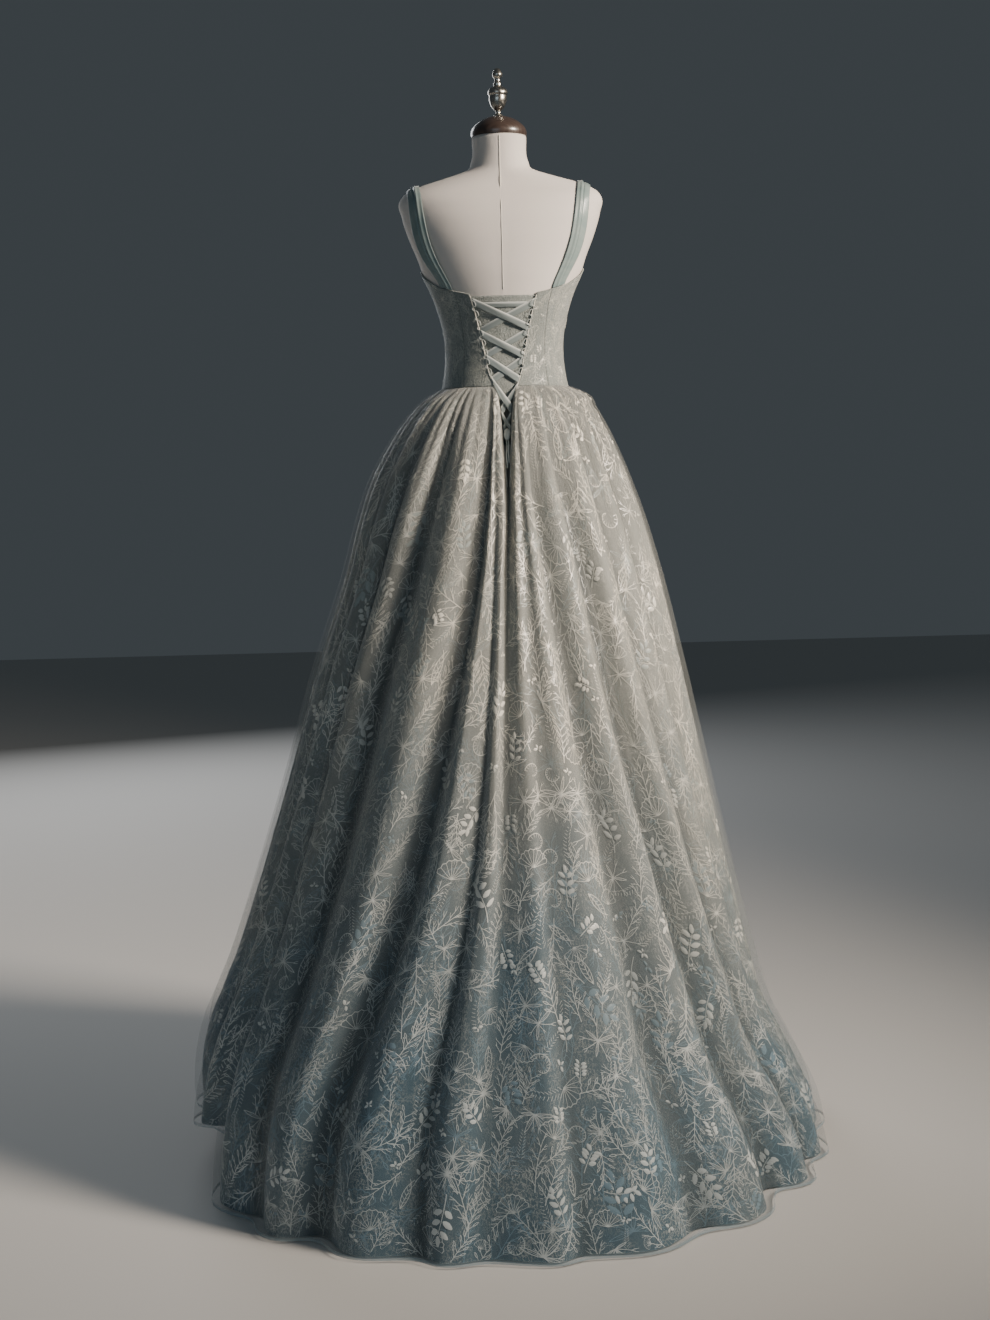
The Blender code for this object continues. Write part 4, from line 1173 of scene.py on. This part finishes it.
def open_twig(work, size):
    """A twig whose shoots end in small open leaves."""
    stem = bent((0, -size * 0.8), math.pi / 2, size * 1.3, seeded.uniform(-0.5, 0.5), 5)
    stroke(work, stem, STITCH_WIDTH * 1.15)
    for k in range(1, 6):
        for side in (-1, 1):
            angle = math.pi / 2 - side * seeded.uniform(0.5, 0.9)
            tip = stroke(work, bent(stem[k], angle, size * 0.28, 0.0, 2))
            for bow in (-1, 1):
                curve = bent(tip, angle + bow * 0.55, size * 0.30, -bow * 1.1, 3)
                stroke(work, curve, STITCH_WIDTH * 0.8, 0.9)


def fan(work, size):
    """Ribs in a half round, with a scalloped rim."""
    ribs = 9
    tips = []
    for k in range(ribs):
        angle = math.radians(12 + 156 * k / (ribs - 1))
        tips.append(stroke(work, bent((0, -size * 0.4), angle, size * 0.95, 0.1, 2), STITCH_WIDTH * 0.8))
    for first, second in zip(tips, tips[1:]):
        middle = (first + second) / 2 * 1.10 + (0, size * 0.04)
        stroke(work, np.array([first, middle, second]), STITCH_WIDTH, 1.0)


def sprig(work, size):
    """A bent stem with filled leaves in pairs, apart from one another, and one at the tip."""
    stem = bent((0, -size * 1.1), math.pi / 2, size * 2.0, seeded.uniform(-0.8, 0.8), 8)
    stroke(work, stem, STITCH_WIDTH * 1.1, 0.7)
    for k in (3, 5, 7):
        for side in (-1, 1):
            angle = math.pi / 2 - side * seeded.uniform(0.75, 1.05)
            root = stem[k] + np.array([math.cos(angle), math.sin(angle)]) * 0.0022
            leaf(work, root, angle, size * seeded.uniform(0.50, 0.62), size * seeded.uniform(0.26, 0.32))
    turn = seeded.uniform(-0.3, 0.3)
    leaf(work, stem[8] + np.array([0, 0.001]), math.pi / 2 + turn, size * 0.55, size * 0.28)


def curl(work, size):
    """A curled frond with short ribs on its outer side."""
    turns = np.linspace(0, 1.55 * math.pi, 13)
    reach = size * (1 - 0.62 * turns / turns[-1])
    path = np.stack([reach * np.cos(turns), reach * np.sin(turns)], axis=1)
    stroke(work, path, STITCH_WIDTH * 1.1)
    for k in range(12):
        tip = path[k] * 0.62
        stroke(work, np.array([path[k], (path[k] + tip) / 2, tip]), STITCH_WIDTH * 0.8)


def plume(work, size):
    """A long open leaf with ribs from its middle vein."""
    stroke(work, bent((0, -size), math.pi / 2, size * 2, 0.3, 6), STITCH_WIDTH)
    for side in (-1, 1):
        rim = bent((0, -size), math.pi / 2 - side * 0.55, size * 2.1, side * 1.25, 7)
        stroke(work, rim, STITCH_WIDTH * 0.9, 0.9)
        for k in range(1, 7):
            root = np.array([0.0, -size + size * 1.9 * (k - 0.6) / 7])
            stroke(work, np.array([root, (root + rim[k]) / 2, rim[k]]), STITCH_WIDTH * 0.7)


PETALS = (
    # turn and size of each petal
    ((0, 1), (1.1, 0.8), (2.6, 0.9), (3.9, 0.6)),
    ((0, 1), (1.3, 0.7), (3.2, 0.9)),
)


def blossom(work, size):
    """Three or four uneven petals, like a small moth."""
    start = seeded.uniform(0, 0.6)
    for turn, share in seeded.choice(PETALS):
        angle = start + turn
        root = (0.0012 * math.cos(angle), 0.0012 * math.sin(angle))
        leaf(work, root, angle, size * share, size * share * 0.55)


def cluster(work, size):
    """Rounder leaves in two uneven rows about a short stem."""
    stem = bent((0, -size), math.pi / 2, size * 1.3, seeded.uniform(-0.4, 0.4), 5)
    stroke(work, stem, STITCH_WIDTH * 1.1)
    for k in (2, 3, 4, 5):
        for side in (-1, 1):
            angle = math.pi / 2 - side * seeded.uniform(0.9, 1.3) + (k - 3) * 0.12
            root = stem[k] + np.array([math.cos(angle), math.sin(angle)]) * 0.0025
            leaf(work, root, angle, size * seeded.uniform(0.40, 0.52), size * seeded.uniform(0.24, 0.30))


def dashes(work, size):
    """Short separate stitches beside a thin stem, like fern."""
    stem = bent((0, -size), math.pi / 2, size * 2, seeded.uniform(-0.9, 0.9), 9)
    for k in range(9):
        for side in (-1, 1):
            angle = math.pi / 2 - side * 0.95
            root = stem[k] + np.array([side * 0.0018, 0.0])
            stroke(work, bent(root, angle, size * 0.30 * (1.1 - k / 14), side * 0.3, 2), STITCH_WIDTH * 0.8)


MOTIFS = (
    # motif, size, how often, variants
    (twig, 0.040, 30, 6),
    (open_twig, 0.038, 26, 5),
    (burst, 0.034, 22, 6),
    (dashes, 0.028, 14, 3),
    (sprig, 0.028, 5, 4),
    (fan, 0.028, 9, 1),
    (plume, 0.028, 7, 1),
    (curl, 0.020, 7, 1),
    (cluster, 0.025, 4, 3),
    (blossom, 0.009, 9, 3),
)


def sew_motifs():
    """Every motif and its variants as small flat meshes, with how often each is used."""
    sewn = []
    for motif, size, often, variants in MOTIFS:
        for number in range(variants):
            work = bmesh.new()
            motif(work, size)
            mesh = bpy.data.meshes.new(f"{motif.__name__}_{number}")
            work.to_mesh(mesh)
            work.free()
            sewn.append((mesh, often / variants))
    return sewn


sewn_motifs = sew_motifs()
print("motifs:", [(mesh.name, len(mesh.vertices)) for mesh, _ in sewn_motifs])

# %% [markdown]
# To lay a flat motif on folded cloth, its centre is set on a point of the cloth's grid. A stitch so many
# millimetres across and down from the centre then goes where that length of cloth leads: the distance is
# measured along the folds, so nothing stretches over a ridge.


# %% Laying stitches on cloth
class Ground:
    """The folded cloth that motifs are laid on."""

    def __init__(self, place, columns, rows, top_share=0.0):
        u, v = np.meshgrid(np.linspace(0, 1, columns + 1), np.linspace(0, 1, rows + 1))
        self.points = place(u.ravel(), v.ravel()).reshape(rows + 1, columns + 1, 3)
        steps = np.linalg.norm(np.diff(self.points, axis=1), axis=2)
        self.across = np.concatenate([np.zeros((rows + 1, 1)), np.cumsum(steps, axis=1)], axis=1)
        cut = self.across[-1, -1] * (top_share + (1 - top_share) * np.linspace(0, 1, rows + 1))
        self.across *= np.maximum(1, cut / self.across[:, -1])[:, None]
        steps = np.linalg.norm(np.diff(self.points, axis=0), axis=2)
        self.down = np.concatenate([np.zeros((1, columns + 1)), np.cumsum(steps, axis=0)], axis=0)
        self.normal = outward(self.points)
        self.hollow = hollows(self.points)[..., None]

    def lay(self, flat, row, column, lift):
        """Points on the cloth for flat points about a centre, given by its row and column."""
        middle = round(column)
        depth = np.interp(row, np.arange(len(self.down)), self.down[:, middle]) - flat[:, 1]
        rows = np.interp(depth, self.down[:, middle], np.arange(len(self.down)))
        near = np.clip(np.round(rows).astype(int), 0, len(self.down) - 1)
        columns = np.empty(len(flat))
        for r in np.unique(near):
            here = near == r
            start = np.interp(column, np.arange(self.across.shape[1]), self.across[r])
            columns[here] = np.interp(start + flat[here, 0], self.across[r], np.arange(self.across.shape[1]))
        rise = lookup(self.normal, rows, columns) * (lift + flat[:, 2:3])
        return lookup(self.points, rows, columns) + rise, lookup(self.hollow, rows, columns)


def embroider(name, ground, spots, finish, lift):
    """One piece of embroidery: a motif at every spot, turned and scaled as the spot says."""
    work = bmesh.new()
    laid, sunk = [], []
    for row, column, angle, scale, mesh in spots:
        work.from_mesh(mesh)
        flat = np.zeros(len(mesh.vertices) * 3)
        mesh.vertices.foreach_get("co", flat)
        flat = flat.reshape(-1, 3) * (scale, scale, 1)
        cosine, sine = math.cos(angle), math.sin(angle)
        x = flat[:, 0] * cosine - flat[:, 1] * sine
        y = flat[:, 0] * sine + flat[:, 1] * cosine
        places, hollow = ground.lay(np.stack([x, y, flat[:, 2]], axis=1), row, column, lift)
        laid.append(places)
        sunk.append(hollow)
    mesh = bpy.data.meshes.new(name)
    work.to_mesh(mesh)
    work.free()
    mesh.vertices.foreach_set("co", np.concatenate(laid).ravel())
    store(mesh, "hollow", np.concatenate(sunk).ravel())
    turn_outward(mesh)
    return finish_piece(mesh, finish, [])


LINE_SHARE = 0.82
SIDE_JITTER = 0.22
ROW_JITTER = 1.2


def scatter(ground, spacing, scales, chooser, margin=0.5):
    """Spots for motifs, in uneven rows down the cloth. The chooser says by height whether a spot is kept."""
    spots = []
    middle = ground.across.shape[1] // 2
    length = ground.down[-1, middle]
    depth = spacing * margin
    line = 0
    while depth < length - spacing * 0.3:
        row = float(np.interp(depth, ground.down[:, middle], np.arange(len(ground.down))))
        width = ground.across[round(row), -1]
        count = max(1, round(width / spacing))
        for k in range(count):
            sideways = 0.5 * (line % 2 - 0.5) + seeded.uniform(-SIDE_JITTER, SIDE_JITTER)
            at = (k + 0.5 + sideways) / count * width
            at = min(max(at, spacing * 0.25), width - spacing * 0.25)
            column = float(np.interp(at, ground.across[round(row)], np.arange(ground.across.shape[1])))
            here = min(max(row + seeded.uniform(-ROW_JITTER, ROW_JITTER), 0), len(ground.down) - 1)
            mesh = seeded.choices([m for m, _ in sewn_motifs], [o for _, o in sewn_motifs])[0]
            angle = seeded.choice((0, 0, math.pi)) + seeded.gauss(0, 0.5)
            spot = (here, column, angle, seeded.uniform(*scales), mesh)
            z = float(ground.points[round(here), round(column), 2])
            if chooser(z):
                spots.append(spot)
        depth += spacing * LINE_SHARE
        line += 1
    return spots


BORDER_MOTIFS = ("fan_0", "curl_0", "burst_1", "dashes_0", "dashes_1")
BORDER_SPACING = 0.027
BORDER_SCALES = (0.35, 0.6)


def hem_border(ground):
    """A close row of small motifs and curls along the hem."""
    spots = []
    width = ground.across[-1, -1]
    small = [mesh for mesh, _ in sewn_motifs if mesh.name in BORDER_MOTIFS]
    for k in range(round(width / BORDER_SPACING)):
        at = (k + 0.5 + seeded.uniform(-0.3, 0.3)) * BORDER_SPACING
        row = len(ground.down) - 1 - seeded.uniform(0.6, 2.4)
        column = float(np.interp(at, ground.across[-1], np.arange(ground.across.shape[1])))
        angle, scale = seeded.uniform(-1.6, 1.6), seeded.uniform(*BORDER_SCALES)
        spots.append((row, column, angle, scale, seeded.choice(small)))
    return spots


# %% Embroidered skirt
IVORY_SPACING = 0.042
IVORY_SCALES = (0.8, 1.15)
BLUE_SPACING = IVORY_SPACING * 1.25
BLUE_SCALES = (0.9, 1.4)
LIFT = 0.0007
TOP_SHARE = 0.3


def everywhere(z):
    return True


def mostly_low(z):
    """Fewer of the blue motifs are kept higher up the skirt."""
    return seeded.random() < 0.85 - 0.35 * z


lace_grounds = {panel: Ground(*panel_grid(panel, "lace"), TOP_SHARE) for panel in PANELS}
embroidery = {}
for panel, ground in lace_grounds.items():
    ivory = scatter(ground, IVORY_SPACING, IVORY_SCALES, everywhere) + hem_border(ground)
    blue = scatter(ground, BLUE_SPACING, BLUE_SCALES, mostly_low, 0.9)
    embroidery[panel] = [
        embroider(f"embroidery_{panel}_ivory", ground, ivory, thread, LIFT),
        embroider(f"embroidery_{panel}_blue", ground, blue, blue_thread, LIFT * 0.6),
    ]
    triangles = [sum(len(f.vertices) - 2 for f in piece.data.polygons) for piece in embroidery[panel]]
    print(panel, "motifs:", len(ivory), "ivory,", len(blue), "blue; triangles:", triangles)

# %% [markdown]
# The bodice carries the same motifs, less than half as large and in a thread of nearly its own tone, so
# that they show as relief more than as colour.

# %% Embroidered bodice
BODICE_SPACING = 0.021
BODICE_SCALES = (0.30, 0.5)
BODICE_LIFT = 0.0003

bodice_grounds = {name: Ground(bodice_place(first, last, width), columns, BODICE_ROWS)
                  for name, first, last, columns, width in BODICE_PANELS}
for name, ground in bodice_grounds.items():
    spots = scatter(ground, BODICE_SPACING, BODICE_SCALES, everywhere)
    relief = embroider(f"embroidery_{name}", ground, spots, tone_thread, BODICE_LIFT)

# %% [markdown]
# One flat ribbon laces the back. Its runs cross the opening in pairs, the ones from the wearer's left
# lying on top. Each run is a strip between two points on the opening's edges, a little off the one below.

# %% Lacing tables
RIBBON_WIDTH = 0.0115
NARROW_WIDTH = 0.0070
RIBBON_WALL = 0.0008
RIBBON_SHELL = 0.0007
TAIL_SHELL = 0.0006
RIBBON_END = 0.0005
SLIT_RIBBON_END = 0.0026
SLIT_SPREAD = 2.0
WAIST_BLEND = 0.006
BAR_OUT = 0.0022
UNDER_OUT = 0.0034
OVER_OUT = 0.0049
LOOP_OUT = 0.0073
TAIL_OUT = 0.0045
LACING = {
    # run: height at the left edge and at the right edge, width, distance out
    "over_1": (1.4585, 1.4150, RIBBON_WIDTH, OVER_OUT),
    "over_2": (1.4060, 1.3690, RIBBON_WIDTH, OVER_OUT),
    "over_3": (1.3650, 1.3292, RIBBON_WIDTH, OVER_OUT),
    "over_4": (1.3210, 1.2790, RIBBON_WIDTH, OVER_OUT),
    "over_5": (1.2700, 1.2460, NARROW_WIDTH, OVER_OUT),
    "under_1": (1.4110, 1.4560, RIBBON_WIDTH, UNDER_OUT),
    "under_2": (1.3700, 1.4085, RIBBON_WIDTH, UNDER_OUT),
    "under_3": (1.3290, 1.3630, RIBBON_WIDTH, UNDER_OUT),
    "under_4": (1.2760, 1.3062, RIBBON_WIDTH, UNDER_OUT),
    "under_5": (1.2460, 1.2700, NARROW_WIDTH, UNDER_OUT),
    "bar": (1.4530, 1.4530, 0.0090, BAR_OUT),
}


def slit_depth(z):
    """How far back the slit's edges lie."""
    back = smooth(SKIRT[:, 0], SKIRT[:, 3], z) - np.interp(z, STAND_OFF[:, 0], STAND_OFF[:, 1])
    return back - valley_depth(0, z)


def back_surface(x, z, out):
    """Points this far out from the form at the back, or level with the slit's edges below the waist."""
    x, z = np.atleast_1d(np.asarray(x, float)), np.atleast_1d(np.asarray(z, float))
    upper = body_point(body_angle(x, np.maximum(z, WAIST_Z), out), z, out)
    level = (out - BACK_PANEL_OUT - BODICE_WALL) * SLIT_SPREAD
    lower = np.stack([x, slit_depth(z) + level, z], axis=1)
    share = smooth_step(z, WAIST_Z - WAIST_BLEND, WAIST_Z + WAIST_BLEND)[:, None]
    return upper * share + lower * (1 - share)


def edge_x(z, side):
    """Where a ribbon ends, just short of the opening's edge."""
    return side * (opening(z) - (RIBBON_END if z > WAIST_Z else SLIT_RIBBON_END))


# %% Ribbon runs
def lacing_run(name, left_z, right_z, width, out):
    """A flat run across the opening, its ends cut along the opening's edges, with its width and length."""
    slope = math.atan2(left_z - right_z, float(opening(left_z) + opening(right_z)))
    lift = width / 2 / math.cos(slope)

    def end_of(side, end_z, raise_by):
        z = end_z + raise_by
        for _ in range(20):
            z = end_z + raise_by + (edge_x(z, side) - edge_x(end_z, side)) * math.tan(slope)
        return edge_x(z, side), z

    corners = {(side, up): end_of(side, end_z, up * lift)
               for side, end_z in ((1, left_z), (-1, right_z)) for up in (1, -1)}

    def place(u, v):
        top = np.array(corners[1, 1])[None] * (1 - u)[:, None] + np.array(corners[-1, 1])[None] * u[:, None]
        low = np.array(corners[1, -1])[None] * (1 - u)[:, None] + np.array(corners[-1, -1])[None] * u[:, None]
        flat = top * v[:, None] + low * (1 - v)[:, None]
        crown = 0.0005 * np.sin(np.pi * v) + 0.0002 * np.sin(u * 9 + v * 5)
        near = back_surface(flat[:, 0], flat[:, 1], out + RIBBON_WALL)
        near[:, 1] += crown
        return near

    mesh = grid_mesh(name + "_satin", 30, 8, place, 0.06, width)
    turn_outward(mesh)
    piece = finish_piece(mesh, ribbon, [name])
    thicken(piece, RIBBON_SHELL)
    return piece, width, math.dist((edge_x(left_z, 1), left_z), (edge_x(right_z, -1), right_z))


lacing = [lacing_run(f"lacing_{name}", *run) for name, run in LACING.items()]
print("ribbon that shows:", round(sum(length for _, _, length in lacing), 3), "m across the opening")

# %% [markdown]
# A cord is a circle carried along a path. The same helper makes the loops at the edges of the opening, the
# piping that finishes those edges down to the end of the slit, and the raised line down the form's back.


# %% Cords
CORD_SIDES = 8
CORD_STEPS = 6


def tube(name, path, radius, finish, nodes):
    """A round cord of this radius along a smooth path."""
    path = np.array(path)
    reach = np.concatenate([[0], np.cumsum(np.linalg.norm(np.diff(path, axis=0), axis=1))])

    def along(at):
        return np.stack([smooth(reach, path[:, k], at) for k in range(3)], axis=1)

    def place(u, v):
        at = v * reach[-1]
        centre = along(at)
        ahead = along(at + 0.0005) - along(at - 0.0005)
        ahead /= np.linalg.norm(ahead, axis=1, keepdims=True) + 1e-12
        side = np.cross(ahead, (0, 1, 0))
        side /= np.linalg.norm(side, axis=1, keepdims=True) + 1e-12
        up = np.cross(side, ahead)
        turn = math.tau * u[:, None]
        return centre + radius * (np.cos(turn) * side + np.sin(turn) * up)

    rows = (len(path) - 1) * CORD_STEPS
    mesh = grid_mesh(name, CORD_SIDES, rows, place, math.tau * radius, float(reach[-1]))
    close_up(mesh, 0.000005)
    return finish_piece(mesh, finish, nodes)


# %% Loops, piping and the form's seam
LOOP_TOP, LOOP_BOTTOM, LOOP_COUNT = 1.462, 1.334, 8
LOOP_OVER, LOOP_REACH = 0.0030, 0.0034
LOOP_RADIUS = 0.0006
LOOP_STEPS = ((LOOP_OVER, 0.0), (-LOOP_REACH, 0.18), (-LOOP_REACH, 0.62), (LOOP_OVER, 0.80))
PIPING_RADIUS = 0.0007
PIPING_IN = 0.0004
PIPING_OUT = 0.0048
SLIT_END = 1.15
SEAM_CORD_BOTTOM_Z = 1.478
SEAM_CORD_TOP_Z = 1.738
SEAM_CORD_POINTS = 10


def loops(side, side_name):
    """One cord sewn in a row of loops that reach over the edge of the opening."""
    pitch = (LOOP_TOP - LOOP_BOTTOM) / LOOP_COUNT
    path = []
    for k in range(LOOP_COUNT):
        for step, share in LOOP_STEPS:
            at = LOOP_TOP - (k + share) * pitch
            path.append(back_surface(side * (opening(at) + step), at, LOOP_OUT)[0])
    tube(f"loops_{side_name}_cord", path, LOOP_RADIUS, loop_cord, [f"loops_{side_name}"])


def piping(side, side_name):
    """A fine cord along the edge of the opening and on down the slit."""
    upper = []
    for z in np.linspace(OPENING_TOP_Z, WAIST_Z + 0.002, 12):
        angle = body_angle(side * (opening(z) + PIPING_IN), z, BACK_PANEL_OUT + BODICE_WALL)
        upper.append(body_point(angle, z, PIPING_OUT))
    heights = np.linspace(WAIST_Z - 0.004, SLIT_END, 14)
    lower = skirt_line(0 if side > 0 else FOLD_COUNT, heights, 1.0, 1.0, 0.0)
    lower += (side * PIPING_IN, 0.0006, 0)
    tube(f"piping_{side_name}", [*upper, *lower], PIPING_RADIUS, thread, [])


for side, side_name in ((1, "left"), (-1, "right")):
    loops(side, side_name)
    piping(side, side_name)

heights = np.linspace(SEAM_CORD_BOTTOM_Z, SEAM_CORD_TOP_Z, SEAM_CORD_POINTS)
seam_path = body_point(0 * heights, heights, SEAM_HEIGHT)
tube("form_seam", seam_path, LOOP_RADIUS, thread, [])

# %% [markdown]
# The ribbon ends in a small knot with two short tails. The knot is two round turns of ribbon pulled tight,
# so it is a ball pinched by a groove. Each tail is folded narrow and hangs with a slight sway.

# %% Knot and tails
KNOT_Z = 1.2366
KNOT_HALF = (0.0058, 0.0030, 0.0097)
TAIL_WIDTH = 0.0026
TAIL_BULGE = 0.006
TAILS = {
    # side: place across at the top and at the end, height of the end
    "left": (0.0015, 0.0016, 1.181),
    "right": (-0.0015, -0.0016, 1.189),
}


def knot_place(u, v):
    turn, rise = math.tau * u, math.pi * (v - 0.5)
    pinch = 1 - 0.20 * np.exp(-((np.sin(rise) + 0.35 * np.cos(turn)) / 0.16) ** 2)
    x = np.cos(rise) * np.cos(turn) * pinch
    y = np.cos(rise) * np.sin(turn) * pinch
    z = KNOT_Z - KNOT_HALF[2] * np.sin(rise)
    depth = back_surface(np.zeros(len(u)), z, OVER_OUT)[:, 1]
    return np.stack([KNOT_HALF[0] * x, depth + KNOT_HALF[1] * y, z], axis=1)


mesh = grid_mesh("lacing_knot_satin", 28, 24, knot_place, 0.03, 0.02)
close_up(mesh, 0.00002)
finish_piece(mesh, painted_light_knot_satin, ["lacing_knot"])


def tail(side_name, top_x, bottom_x, bottom_z):
    top = KNOT_Z - KNOT_HALF[2]

    def place(u, v):
        z = top + (bottom_z - top) * v
        sway = 0.0006 * np.sin(v * 9 + top_x * 2000)
        x = top_x + (bottom_x - top_x) * v + (u - 0.5) * TAIL_WIDTH * (0.55 + 0.45 * v) + sway
        ridge = 0.0004 * np.sin(np.pi * u)
        points = back_surface(x, z, TAIL_OUT + RIBBON_WALL)
        points[:, 1] += ridge + TAIL_BULGE * np.sin(np.pi * np.minimum(1, v * 0.9)) ** 0.8
        return points

    mesh = grid_mesh(f"lacing_tail_{side_name}_satin", 6, 40, place, TAIL_WIDTH, 0.05)
    turn_outward(mesh)
    piece = finish_piece(mesh, painted_light_knot_satin, [f"lacing_tail_{side_name}"])
    thicken(piece, TAIL_SHELL)


for side, places in TAILS.items():
    tail(side, *places)

# %% [markdown]
# Cloth is cut flat, to a width and length before it is sewn and gathered. The skirt's panels flare, and are
# gathered at the waist to about a third of their width. The bodice's panels are shaped to fit, so their flat
# area is what they cover. A ribbon run is its own flat size. The bar, the lowest runs and the tails are
# folded narrower than LEAST_SHEET_WIDTH. The cell below only lays out the sheer panels and the modesty panel
# on their folds and compares each run's width with that width; it keeps nothing.


# %% Laying out the sheets
LEAST_SHEET_WIDTH = 0.010


for panel in PANELS:
    words = panel.split("_")
    held_by = [name for name in bodice if name.split("_")[1] in words and words[-1] in name]
    Ground(*panel_grid(panel, "tulle"))

Ground(modesty_place, MODESTY_COLUMNS, MODESTY_ROWS)
for piece, width, length in lacing:
    width > LEAST_SHEET_WIDTH
